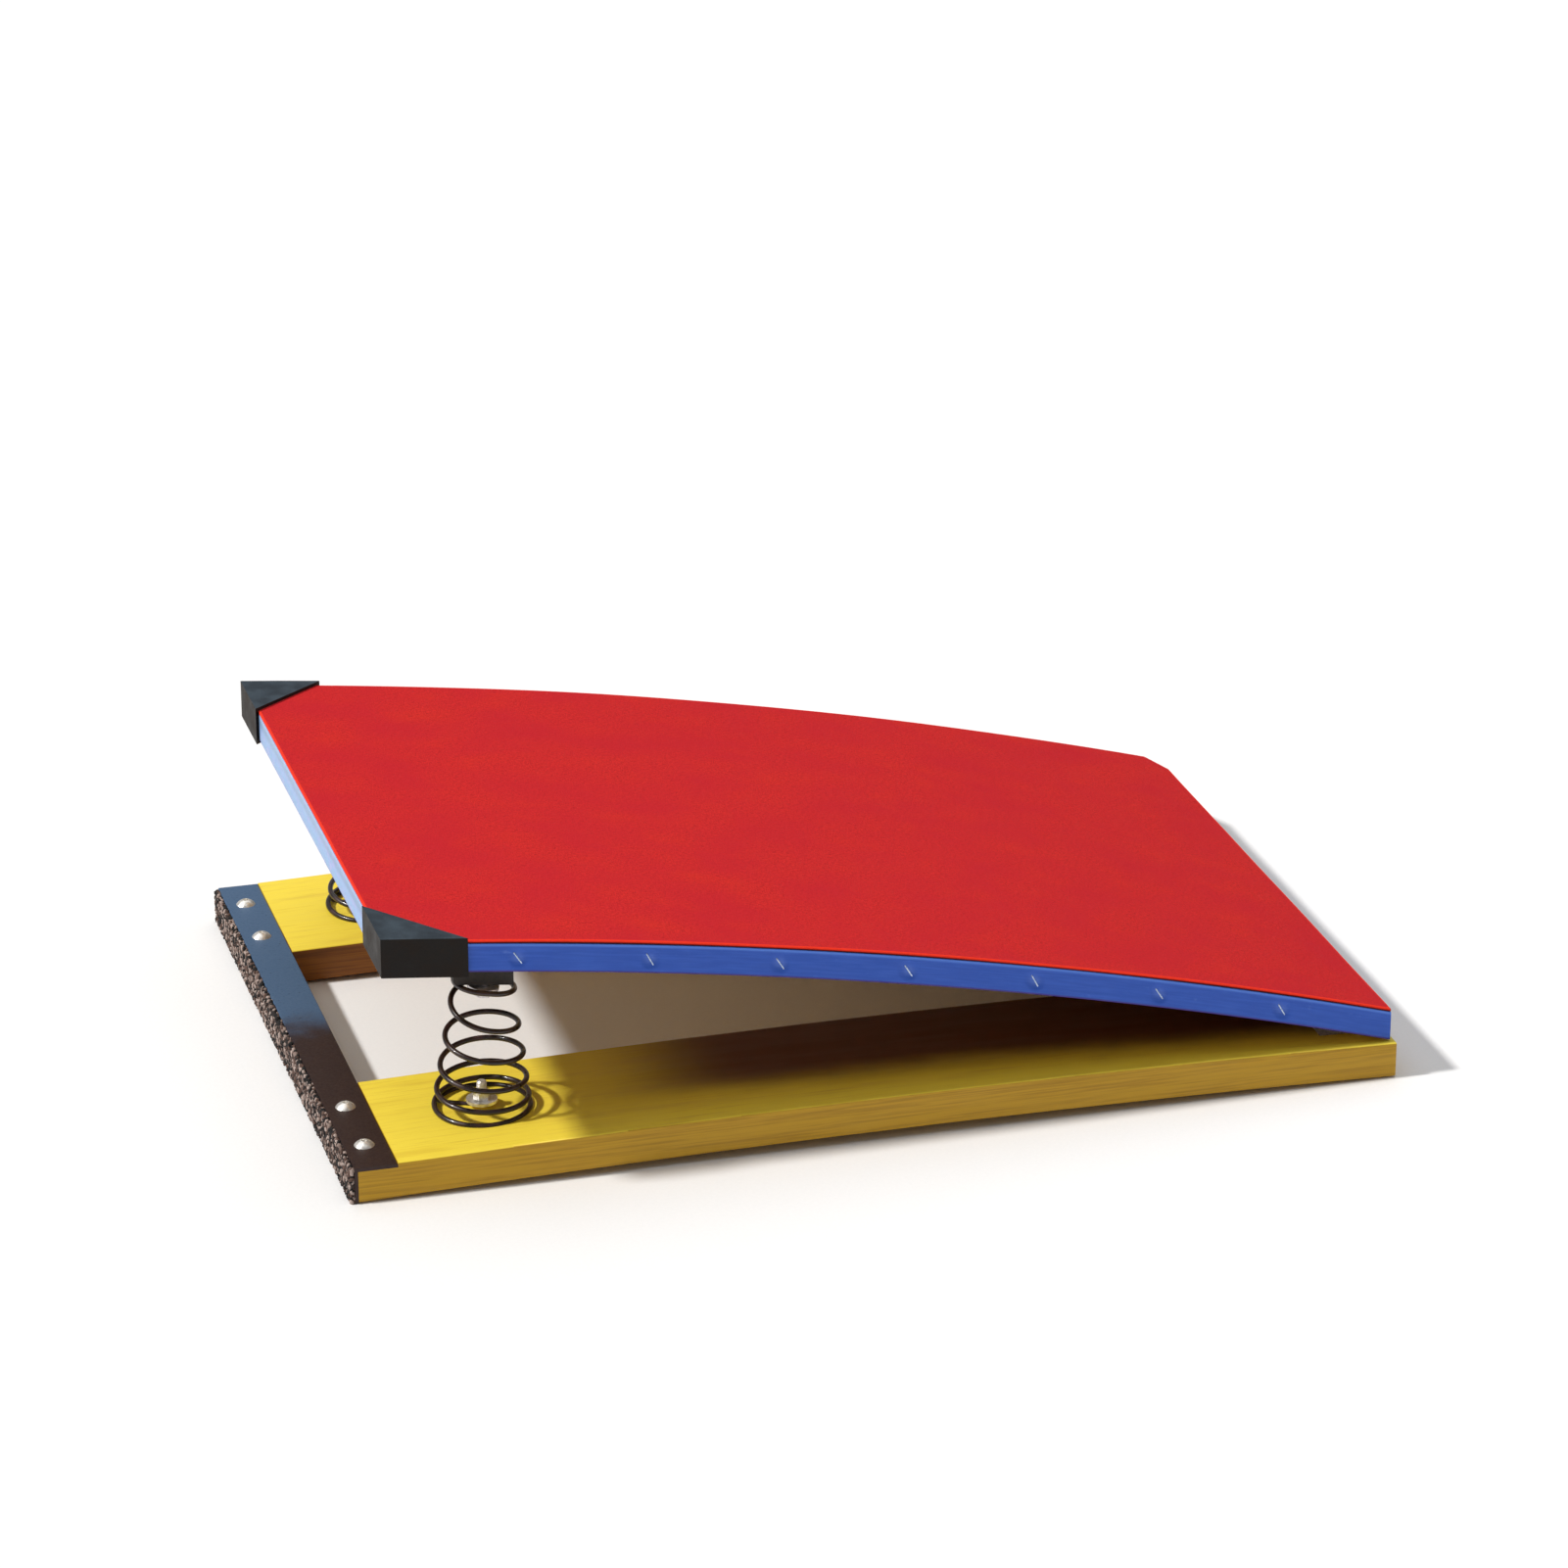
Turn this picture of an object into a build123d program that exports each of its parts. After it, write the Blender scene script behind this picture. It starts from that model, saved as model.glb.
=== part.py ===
from build123d import *
import math
import os

# A vaulting springboard. A curved, carpeted board is hinged at its low end to a
# wooden frame of two arched rails, and two conical springs hold up its high end.
# X runs from the sprung end to the hinged end, Y across the board, Z up.
# The origin is on the floor under the middle of the frame. Sizes are in mm.

# Overall sizes
LENGTH = 900.0  # from the grip strip to the ends of the rails
WIDTH = 600.0  # over the outer faces of the two rails
FLOOR_GAP = 1.5  # the wood stands this far off the floor, on rubber

# Rails
RAIL_WIDTH = 160.0
RAIL_THICKNESS = 30.0
RAIL_RISE = 7.0  # how far each rail arches up in the middle
RAIL_EDGE_ROUND = 1.5

# Steel angle and rubber strip across the sprung end of the frame
STRIP_THICKNESS = 4.0
ANGLE_THICKNESS = 3.0
ANGLE_TOP_WIDTH = 36.0
ANGLE_EDGE_ROUND = 0.8
ANGLE_BOLT_INSET = 17.0  # from the angle's outer face
ANGLE_BOLT_SPACING = 75.0  # between the two bolts on one rail

# Rubber feet let into the undersides of the rails
FOOT_LENGTH = 60.0
FOOT_WIDTH = 110.0
FOOT_THICKNESS = 7.0
FOOT_CLEARANCE = 0.5
FOOT_AT_SPRUNG_END = 72.0  # the middle of a foot, from the frame's end
FOOT_AT_HINGED_END = 46.0

# Batten between the rails at the hinged end, with a steel bracket at each end
BATTEN_WIDTH = 45.0
BATTEN_THICKNESS = 22.0
BATTEN_SET_BACK = 12.0
BATTEN_LIFT = 5.0  # above the floor
BRACKET_LEG = 30.0
BRACKET_HEIGHT = 16.0
BRACKET_THICKNESS = 2.5
BRACKET_SCREW_LENGTH = 18.0
BRACKET_SCREW_STEPS = (10.0, 22.0)  # from the inside corner of the bracket

# Board
BOARD_SPRUNG_INSET = 34.0  # from the frame's sprung end to the board's high end
BOARD_HINGED_INSET = 4.0
BOARD_SIDE_INSET = 5.0
HIGH_END_TOP = 225.4  # top of the carpet over the floor
LOW_END_TOP = 61.5
BOARD_CROWN = 20.6  # how far the top bulges above the line between its ends
PANEL_THICKNESS = 18.0
FOAM_THICKNESS = 6.5
CARPET_THICKNESS = 3.0
BAND_THICKNESS = 1.6
CLIP_LENGTH = 15.0  # one low corner is cut off, this far along the board
CLIP_WIDTH = 26.0  # and this far across it

# Staples along the side bands
STAPLE_COUNT = 7
STAPLE_PITCH = 109.0
STAPLE_MIDDLE = 20.0  # the middle staple is this far from the frame's middle
STAPLE_CROWN = 12.0
STAPLE_WIRE = 1.2
STAPLE_LEG = 8.0
STAPLE_DEPTH = 15.5  # below the carpet's top
STAPLE_LEAN = 30.0  # degrees from upright

# Moulded guards on the two high corners
GUARD_LEG = 71.0
GUARD_WALL = 3.0
GUARD_SCREW_LENGTH = 14.0
GUARD_SCREW_SPOTS = ((40.0, 15.0), (15.0, 40.0))  # from the board's corner

# Crossbar under the board
CROSSBAR_WIDTH = 50.0
CROSSBAR_DEPTH = 39.0
CROSSBAR_SIDE_INSET = 65.0  # from the board's sides
CROSSBAR_EDGE_ROUND = 3.0
CROSSBAR_X = -321.0
CROSSBAR_SCREW_LENGTH = 50.0
CROSSBAR_SCREW_SPOTS = (-150.0, -60.0, 60.0, 150.0)

# Springs
SPRING_X = -322.0  # the middle of a spring's lowest coil
SPRING_Y_SHIFT = -2.0  # from the middle of a rail
SPRING_LEAN = 4.0  # its top coil stands this much nearer the hinge
SPRING_WIRE = 4.6
SPRING_LOW_RADIUS = 40.0  # to the middle of the wire
SPRING_TOP_RADIUS = 24.6
SPRING_TURNS = 5.0  # between the two closed end coils
SPRING_TOP_GAP = 0.3  # between the top coil and the crossbar
SPRING_START_LIFT = 2.2  # the turns leave the lowest coil this far up its wire

# Bolts, nuts and washers
BOLT_RADIUS = 4.0
HOLE_CLEARANCE = 0.2
THREAD_CLEARANCE = 0.05
NUT_FLATS = 13.0
NUT_HEIGHT = 6.5
BUTTON_RADIUS = 8.5
BUTTON_HEIGHT = 4.6
SOCKET_FLATS = 5.0
SOCKET_DEPTH = 2.6
WASHER_RADIUS = 9.0
WASHER_THICKNESS = 1.6
WIDE_WASHER_RADIUS = 13.0
WIDE_WASHER_THICKNESS = 2.5
COUNTERBORE_RADIUS = 10.5
COUNTERBORE_DEPTH = 10.0
CUP_HEAD_RADIUS = 9.5
CUP_HEAD_HEIGHT = 4.5
SPRING_BOLT_RISE = 23.0  # the tip above the rail
TOP_BOLT_LENGTH = 28.0

# Hinges, one on each rail
HINGE_SET_BACK = 20.0  # the axis, from the ends of the rails
HINGE_WIDTH = 100.0
LEAF_LENGTH = 38.0
LEAF_THICKNESS = 2.5
PIN_RADIUS = 2.45
PIN_CLEARANCE = 0.05
PIN_HEAD_HEIGHT = 1.5
KNUCKLES = 5
KNUCKLE_GAP = 0.5
MORTISE_CLEARANCE = 0.6
HINGE_SCREW_SPOTS = (-36.0, 0.0, 36.0)
HINGE_SCREW_INSET = 24.0  # from the axis
RAIL_SCREW_LENGTH = 18.0
BOARD_SCREW_LENGTH = 14.0

# Countersunk screws
SMALL_SCREW_HEAD = 3.5
SMALL_SCREW_SHANK = 1.75
LARGE_SCREW_HEAD = 5.0
LARGE_SCREW_SHANK = 2.5

# Places worked out from the sizes above
SPRUNG_END = -LENGTH / 2
HINGED_END = LENGTH / 2
ANGLE_OUTER = SPRUNG_END + STRIP_THICKNESS
RAIL_START = ANGLE_OUTER + ANGLE_THICKNESS
RAIL_END_TOP = FLOOR_GAP + RAIL_THICKNESS
RAIL_MIDDLE = WIDTH / 2 - RAIL_WIDTH / 2
RAIL_INNER = WIDTH / 2 - RAIL_WIDTH
SPRING_Y = RAIL_MIDDLE + SPRING_Y_SHIFT
BOARD_HIGH_X = SPRUNG_END + BOARD_SPRUNG_INSET
BOARD_LOW_X = HINGED_END - BOARD_HINGED_INSET
BOARD_HALF_WIDTH = WIDTH / 2 - BOARD_SIDE_INSET
BAND_BOTTOM = CARPET_THICKNESS + FOAM_THICKNESS + PANEL_THICKNESS
BATTEN_FACE = HINGED_END - BATTEN_SET_BACK - BATTEN_WIDTH
CROSSBAR_BOTTOM = BAND_BOTTOM + CROSSBAR_DEPTH
HINGE_X = HINGED_END - HINGE_SET_BACK
KNUCKLE_BORE = PIN_RADIUS + PIN_CLEARANCE
KNUCKLE_RADIUS = KNUCKLE_BORE + LEAF_THICKNESS
DOWN = Rot(180, 0, 0)


class Arch:
    """A circular arc in the XZ plane that bulges upwards between two ends."""

    def __init__(self, x0, z0, x1, z1, rise):
        chord = math.hypot(x1 - x0, z1 - z0)
        self.radius = (chord**2 / 4 + rise**2) / (2 * rise)
        drop = self.radius - rise
        self.x = (x0 + x1) / 2 + (z1 - z0) / chord * drop
        self.z = (z0 + z1) / 2 - (x1 - x0) / chord * drop

    def height(self, x, depth=0.0):
        """The height at x of the arc that lies depth below this one."""
        return self.z + math.sqrt((self.radius - depth) ** 2 - (x - self.x) ** 2)

    def point(self, x, depth=0.0):
        return (x, self.height(x, depth))

    def seat(self, x, y, depth=0.0):
        """A place on the surface, with its own Z square to the surface."""
        z = self.height(x, depth)
        lean = math.degrees(math.atan2(x - self.x, z - self.z))
        return Location((x, y, z), (0, lean, 0))

    def slab(self, x0, x1, top, bottom, y0, y1):
        """The solid between two depths, two places along X and two along Y."""
        middle = (x0 + x1) / 2
        upper = ThreePointArc(self.point(x0, top), self.point(middle, top), self.point(x1, top))
        lower = ThreePointArc(
            self.point(x1, bottom), self.point(middle, bottom), self.point(x0, bottom)
        )
        ends = [Line(upper @ 1, lower @ 0), Line(lower @ 1, upper @ 0)]
        return extrude(side_plane(y1) * make_face([upper, lower] + ends), amount=y1 - y0)


def side_plane(y):
    """The plane at y in which a point's two numbers are X and Z."""
    return Plane(origin=(0, y, 0), x_dir=(1, 0, 0), z_dir=(0, -1, 0))


RAIL_ARCH = Arch(SPRUNG_END, RAIL_END_TOP, HINGED_END, RAIL_END_TOP, RAIL_RISE)
BOARD_ARCH = Arch(BOARD_HIGH_X, HIGH_END_TOP, BOARD_LOW_X, LOW_END_TOP, BOARD_CROWN)
HINGE_Z = (RAIL_ARCH.height(HINGE_X) + BOARD_ARCH.height(HINGE_X, BAND_BOTTOM)) / 2


def block(x0, x1, y0, y1, z0, z1):
    """A box from its six sides."""
    return Pos(x0, y0, z0) * Box(x1 - x0, y1 - y0, z1 - z0, align=Align.MIN)


def rod(radius, z0, z1):
    """A cylinder on the Z axis."""
    return Pos(0, 0, z0) * Cylinder(radius, z1 - z0, align=(Align.CENTER, Align.CENTER, Align.MIN))


def hexagon(flats, z0, z1):
    """A six-sided prism on the Z axis."""
    return extrude(Pos(0, 0, z0) * RegularPolygon(flats / 2, 6, major_radius=False), z1 - z0)


def dome(radius, height):
    """The cap of a ball, standing on the XY plane."""
    ball = (radius**2 + height**2) / (2 * height)
    return (Pos(0, 0, height - ball) * Sphere(ball)) & rod(radius, 0, height)


def washer(radius, thickness):
    return rod(radius, 0, thickness) - rod(BOLT_RADIUS + HOLE_CLEARANCE, 0, thickness)


def nut():
    return hexagon(NUT_FLATS, 0, NUT_HEIGHT) - rod(BOLT_RADIUS + THREAD_CLEARANCE, 0, NUT_HEIGHT)


def screw(head, shank, length):
    """A countersunk screw, its flat head on the XY plane and its point at -length."""
    taper = head - shank
    point = 2 * shank
    cone = Pos(0, 0, -taper / 2) * Cone(shank, head, taper)
    tip = Pos(0, 0, point / 2 - length) * Cone(shank / 4, shank, point)
    return cone + rod(shank, point - length, -taper) + tip


def cut(body, tools):
    """The body without the tools, which are fitted into it."""
    for tool in tools:
        body -= tool
    return body


def long_top_edges(solid):
    """The upper two edges that run from end to end of a rail."""
    edges = solid.edges().filter_by(lambda edge: edge.bounding_box().size.X > LENGTH / 2)
    return edges.sort_by(Axis.Z)[-2:]


# ---------------------------------------------------------------- frame


def angle_bolt_spots():
    x = ANGLE_OUTER + ANGLE_BOLT_INSET
    half = ANGLE_BOLT_SPACING / 2
    return [(x, side * RAIL_MIDDLE + step) for side in (-1, 1) for step in (-half, half)]


def counterbore_top(x):
    """The roof of a counterbore in a rail's underside."""
    return RAIL_ARCH.height(x, RAIL_THICKNESS) + COUNTERBORE_DEPTH


def angle_bolts():
    """Button-headed bolts through the angle's top and the rails."""
    bolts = []
    for x, y in angle_bolt_spots():
        end = counterbore_top(x) - WASHER_THICKNESS - NUT_HEIGHT - RAIL_END_TOP
        head = dome(BUTTON_RADIUS, BUTTON_HEIGHT)
        head -= hexagon(SOCKET_FLATS, BUTTON_HEIGHT - SOCKET_DEPTH, BUTTON_HEIGHT)
        bolts.append(Pos(x, y, RAIL_END_TOP) * (head + rod(BOLT_RADIUS, end, 0)))
    return bolts


def angle_washers():
    under = WASHER_THICKNESS
    one = washer(WASHER_RADIUS, WASHER_THICKNESS)
    return [Pos(x, y, counterbore_top(x) - under) * one for x, y in angle_bolt_spots()]


def angle_nuts():
    under = WASHER_THICKNESS + NUT_HEIGHT
    return [Pos(x, y, counterbore_top(x) - under) * nut() for x, y in angle_bolt_spots()]


def front_angle():
    """The steel angle: its top is let into the rails, its web closes their ends."""
    inner = ANGLE_OUTER + ANGLE_TOP_WIDTH
    half = WIDTH / 2
    low_top = RAIL_END_TOP - ANGLE_THICKNESS
    angle = block(ANGLE_OUTER, inner, -half, half, low_top, RAIL_END_TOP)
    angle += block(ANGLE_OUTER, RAIL_START, -half, half, FLOOR_GAP, low_top)
    rounded = [e for e in angle.edges().filter_by(Axis.Y) if e.center().Z > low_top + 1]
    angle = fillet(rounded, ANGLE_EDGE_ROUND)
    holes = [Pos(x, y, 0) * bolt_hole() for x, y in angle_bolt_spots()]
    return cut(angle, holes)


def bolt_hole():
    return rod(BOLT_RADIUS + HOLE_CLEARANCE, 0, HIGH_END_TOP)


def front_grip_strip():
    return block(SPRUNG_END, ANGLE_OUTER, -WIDTH / 2, WIDTH / 2, 0, RAIL_END_TOP)


def foot_spots():
    xs = (SPRUNG_END + FOOT_AT_SPRUNG_END, HINGED_END - FOOT_AT_HINGED_END)
    return [(x, side * RAIL_MIDDLE) for side in (-1, 1) for x in xs]


def feet(clearance=0.0):
    size = (FOOT_LENGTH + 2 * clearance, FOOT_WIDTH + 2 * clearance, FOOT_THICKNESS)
    base = (Align.CENTER, Align.CENTER, Align.MIN)
    return [Pos(x, y, 0) * Box(*size, align=base) for x, y in foot_spots()]


def rail(side, fitted):
    """One arched rail, cut for everything that is let into it."""
    inner, outer = sorted((side * RAIL_INNER, side * WIDTH / 2))
    body = RAIL_ARCH.slab(RAIL_START, HINGED_END, 0, RAIL_THICKNESS, inner, outer)
    body = fillet(long_top_edges(body), RAIL_EDGE_ROUND)
    seat = RAIL_END_TOP - ANGLE_THICKNESS
    body -= block(SPRUNG_END, ANGLE_OUTER + ANGLE_TOP_WIDTH, inner, outer, seat, HIGH_END_TOP)
    spots = angle_bolt_spots() + [(SPRING_X, -SPRING_Y), (SPRING_X, SPRING_Y)]
    wells = [Pos(x, y, 0) * rod(COUNTERBORE_RADIUS, 0, counterbore_top(x)) for x, y in spots]
    holes = [Pos(x, y, 0) * bolt_hole() for x, y in spots]
    return cut(body, wells + holes + feet(FOOT_CLEARANCE) + fitted)


def rear_batten(fitted):
    body = block(
        BATTEN_FACE,
        BATTEN_FACE + BATTEN_WIDTH,
        -RAIL_INNER,
        RAIL_INNER,
        BATTEN_LIFT,
        BATTEN_LIFT + BATTEN_THICKNESS,
    )
    return cut(body, fitted)


def bracket_height():
    return BATTEN_LIFT + (BATTEN_THICKNESS - BRACKET_HEIGHT) / 2


def bracket_screws():
    """Two screws through each leg of each bracket."""
    screws = []
    z = bracket_height() + BRACKET_HEIGHT / 2
    one = screw(SMALL_SCREW_HEAD, SMALL_SCREW_SHANK, BRACKET_SCREW_LENGTH)
    for side in (-1, 1):
        for step in BRACKET_SCREW_STEPS:
            rail_face = side * (RAIL_INNER - BRACKET_THICKNESS)
            into_rail = Pos(BATTEN_FACE - step, rail_face, z) * Rot(90 * side, 0, 0)
            batten_spot = side * (RAIL_INNER - step)
            into_batten = Pos(BATTEN_FACE - BRACKET_THICKNESS, batten_spot, z) * Rot(0, -90, 0)
            screws += [into_rail * one, into_batten * one]
    return screws


def rear_brackets(fitted):
    """A steel angle in each corner between the batten and a rail."""
    brackets = []
    low = bracket_height()
    high = low + BRACKET_HEIGHT
    for side in (-1, 1):
        face, inside = sorted((side * RAIL_INNER, side * (RAIL_INNER - BRACKET_THICKNESS)))
        far, near = sorted((side * RAIL_INNER, side * (RAIL_INNER - BRACKET_LEG)))
        leg = block(BATTEN_FACE - BRACKET_LEG, BATTEN_FACE, face, inside, low, high)
        leg += block(BATTEN_FACE - BRACKET_THICKNESS, BATTEN_FACE, far, near, low, high)
        brackets.append(cut(leg, fitted))
    return brackets


# ---------------------------------------------------------------- hinges


def leaf(first, slope):
    """A hinge leaf under its axis, which is the local Y axis; slope turns the plate.

    Knuckles first, first + 2 and so on are its own, and it is cut clear of the rest.
    """
    step = HINGE_WIDTH / KNUCKLES
    half = HINGE_WIDTH / 2
    clear = KNUCKLE_RADIUS + MORTISE_CLEARANCE
    plate = block(-LEAF_LENGTH, -clear, -half, half, -KNUCKLE_RADIUS, -KNUCKLE_BORE)
    body = Rot(0, slope, 0) * plate
    for i in range(first, KNUCKLES, 2):
        low = -half + i * step + (KNUCKLE_GAP / 2 if i > 0 else 0)
        high = -half + (i + 1) * step - (KNUCKLE_GAP / 2 if i < KNUCKLES - 1 else 0)
        root = block(-clear, 0, low, high, -KNUCKLE_RADIUS, -KNUCKLE_BORE)
        barrel = Pos(0, high, 0) * Rot(90, 0, 0) * rod(KNUCKLE_RADIUS, 0, high - low)
        body += Rot(0, slope, 0) * root + barrel
    return body - Rot(90, 0, 0) * rod(KNUCKLE_BORE, -HINGE_WIDTH, HINGE_WIDTH)


def mortise(slope):
    """The room that a leaf and all the knuckles need, with their clearance."""
    half = HINGE_WIDTH / 2 + PIN_HEAD_HEIGHT + MORTISE_CLEARANCE
    long = LEAF_LENGTH + MORTISE_CLEARANCE
    pocket = block(-long, 0, -half, half, -KNUCKLE_RADIUS, KNUCKLE_RADIUS)
    groove = Rot(90, 0, 0) * rod(KNUCKLE_RADIUS + MORTISE_CLEARANCE, -half, half)
    return Rot(0, slope, 0) * pocket + groove


def leaf_slopes():
    """How far the rail's top and the board's underside lean under the leaves."""
    middle = HINGE_X - LEAF_LENGTH / 2
    on_rail = RAIL_ARCH.seat(middle, 0).orientation.Y
    on_board = BOARD_ARCH.seat(middle, 0, BAND_BOTTOM).orientation.Y
    return on_rail, on_board


def hinge_places():
    return [Pos(HINGE_X, side * RAIL_MIDDLE, HINGE_Z) for side in (-1, 1)]


def hinge_parts():
    """The leaves, pins, screws and mortises of both hinges, by name."""
    on_rail, on_board = leaf_slopes()
    names = ("rail_leaves", "board_leaves", "pins", "rail_screws", "board_screws")
    parts = {name: [] for name in names + ("rail_mortises", "board_mortises")}
    pin_length = HINGE_WIDTH / 2
    pin = Rot(90, 0, 0) * rod(PIN_RADIUS, -pin_length, pin_length)
    head = dome(KNUCKLE_RADIUS - 1, PIN_HEAD_HEIGHT)
    pin += Pos(0, -pin_length, 0) * Rot(90, 0, 0) * head
    pin += Pos(0, pin_length, 0) * Rot(-90, 0, 0) * head
    rail_screw = screw(LARGE_SCREW_HEAD, LARGE_SCREW_SHANK, RAIL_SCREW_LENGTH)
    board_screw = screw(LARGE_SCREW_HEAD, LARGE_SCREW_SHANK, BOARD_SCREW_LENGTH)
    over = Rot(180, 0, 0)
    for place in hinge_places():
        low = [
            place * Rot(0, on_rail, 0) * Pos(-HINGE_SCREW_INSET, y, -KNUCKLE_BORE) * rail_screw
            for y in HINGE_SCREW_SPOTS
        ]
        high = [
            place * Rot(0, on_board, 0) * Pos(-HINGE_SCREW_INSET, y, KNUCKLE_BORE) * over * board_screw
            for y in HINGE_SCREW_SPOTS
        ]
        parts["rail_leaves"].append(cut(place * leaf(0, on_rail), low))
        parts["board_leaves"].append(cut(place * over * leaf(1, -on_board), high))
        parts["pins"].append(place * pin)
        parts["rail_screws"] += low
        parts["board_screws"] += high
        parts["rail_mortises"].append(place * mortise(on_rail))
        parts["board_mortises"].append(place * over * mortise(-on_board))
    return parts


# ---------------------------------------------------------------- springs


def spring_foot(side):
    """The place on a rail where the middle of a spring stands."""
    return RAIL_ARCH.seat(SPRING_X, side * SPRING_Y)


def spring_head(side):
    """The place under the crossbar, looking down, where a spring's top is held."""
    return BOARD_ARCH.seat(SPRING_X + SPRING_LEAN, side * SPRING_Y, CROSSBAR_BOTTOM) * DOWN


def end_coil(radius):
    """A closed coil lying on the XY plane, with a tail in to its middle."""
    half = SPRING_WIRE / 2
    ring = Torus(radius, half)
    tail = Rot(0, -90, 0) * rod(half, BOLT_RADIUS + 1, radius)
    return Pos(0, 0, half) * (ring + tail)


def spring(side):
    """One conical spring: two closed end coils and the left-handed turns between."""
    half = SPRING_WIRE / 2
    low = spring_foot(side) * Pos(0, 0, half + SPRING_START_LIFT)
    high = spring_head(side) * Pos(0, 0, half + SPRING_TOP_GAP)
    climb = high.position - low.position
    taper = math.degrees(math.atan2(SPRING_LOW_RADIUS - SPRING_TOP_RADIUS, climb.length))
    path = Helix(
        pitch=climb.length / SPRING_TURNS,
        height=climb.length,
        radius=SPRING_LOW_RADIUS,
        cone_angle=-taper,
        lefthand=True,
    )
    turns = sweep(Plane(path @ 0, z_dir=path % 0) * Circle(half), path=path, is_frenet=True)
    lean = math.degrees(math.atan2(climb.X, climb.Z))
    turns = Location(low.position, (0, lean, 0)) * turns
    foot = spring_foot(side) * end_coil(SPRING_LOW_RADIUS)
    head = spring_head(side) * Pos(0, 0, SPRING_TOP_GAP) * end_coil(SPRING_TOP_RADIUS)
    return turns + foot + head


def spring_bolts():
    """Cup-headed bolts up through the rails, inside the springs."""
    bolts = []
    for side in (-1, 1):
        top = RAIL_ARCH.height(SPRING_X) + SPRING_BOLT_RISE
        roof = counterbore_top(SPRING_X)
        head = Pos(0, 0, roof) * DOWN * dome(CUP_HEAD_RADIUS, CUP_HEAD_HEIGHT)
        bolt = rod(BOLT_RADIUS, roof, top - 1) + Pos(0, 0, top - 0.5) * Cone(
            BOLT_RADIUS, BOLT_RADIUS - 1, 1
        )
        bolts.append(Pos(SPRING_X, side * SPRING_Y, 0) * (bolt + head))
    return bolts


def spring_base_washers():
    one = washer(WIDE_WASHER_RADIUS, WIDE_WASHER_THICKNESS)
    z = RAIL_ARCH.height(SPRING_X) + SPRING_WIRE
    return [Pos(SPRING_X, side * SPRING_Y, z) * one for side in (-1, 1)]


def spring_base_nuts():
    z = RAIL_ARCH.height(SPRING_X) + SPRING_WIRE + WIDE_WASHER_THICKNESS
    return [Pos(SPRING_X, side * SPRING_Y, z) * nut() for side in (-1, 1)]


def spring_top_washers():
    one = Pos(0, 0, SPRING_WIRE + SPRING_TOP_GAP) * washer(WIDE_WASHER_RADIUS, WIDE_WASHER_THICKNESS)
    return [spring_head(side) * one for side in (-1, 1)]


def spring_top_bolts():
    seat = SPRING_WIRE + SPRING_TOP_GAP + WIDE_WASHER_THICKNESS
    bolt = hexagon(NUT_FLATS, seat, seat + NUT_HEIGHT) + rod(BOLT_RADIUS, -TOP_BOLT_LENGTH, seat)
    return [spring_head(side) * bolt for side in (-1, 1)]


# ---------------------------------------------------------------- board


def outline(inset):
    """The board's outline seen from above, with one low corner cut off."""
    high = BOARD_HIGH_X + inset
    low = BOARD_LOW_X - inset
    half = BOARD_HALF_WIDTH - inset
    slant = math.hypot(CLIP_LENGTH, CLIP_WIDTH)
    shift = inset * (CLIP_LENGTH + CLIP_WIDTH - slant)
    along = CLIP_LENGTH - shift / CLIP_WIDTH
    across = CLIP_WIDTH - shift / CLIP_LENGTH
    corners = [
        (high, -half),
        (low, -half),
        (low, half - across),
        (low - along, half),
        (high, half),
    ]
    return make_face(Polyline(*corners, close=True))


def layer(face, top, bottom):
    """The part of the curved board under a flat outline, between two depths."""
    wide = WIDTH / 2
    slab = BOARD_ARCH.slab(SPRUNG_END, HINGED_END, top, bottom, -wide, wide)
    return slab & extrude(face, HIGH_END_TOP + GUARD_WALL * 2)


def carpet_cover():
    return layer(outline(0), 0, CARPET_THICKNESS)


def foam_layer():
    return layer(outline(BAND_THICKNESS), CARPET_THICKNESS, CARPET_THICKNESS + FOAM_THICKNESS)


def board_panel(fitted):
    top = CARPET_THICKNESS + FOAM_THICKNESS
    return cut(layer(outline(BAND_THICKNESS), top, BAND_BOTTOM), fitted)


def edge_bands():
    """The vinyl band round the board, as its four strips."""
    ring = outline(0) - outline(BAND_THICKNESS)
    band = layer(ring, CARPET_THICKNESS, BAND_BOTTOM)
    inner_high = BOARD_HIGH_X + BAND_THICKNESS
    inner_low = BOARD_LOW_X - BAND_THICKNESS
    ends = {"high": (SPRUNG_END, inner_high), "low": (inner_low, HINGED_END)}
    strips = {}
    for name, (x0, x1) in ends.items():
        strips[name] = band & block(x0, x1, -WIDTH, WIDTH, 0, HIGH_END_TOP * 2)
    sides = band & block(inner_high, inner_low, -WIDTH, WIDTH, 0, HIGH_END_TOP * 2)
    strips["near"] = sides & block(-LENGTH, LENGTH, -WIDTH, 0, 0, HIGH_END_TOP * 2)
    strips["far"] = sides & block(-LENGTH, LENGTH, 0, WIDTH, 0, HIGH_END_TOP * 2)
    return strips


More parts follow.
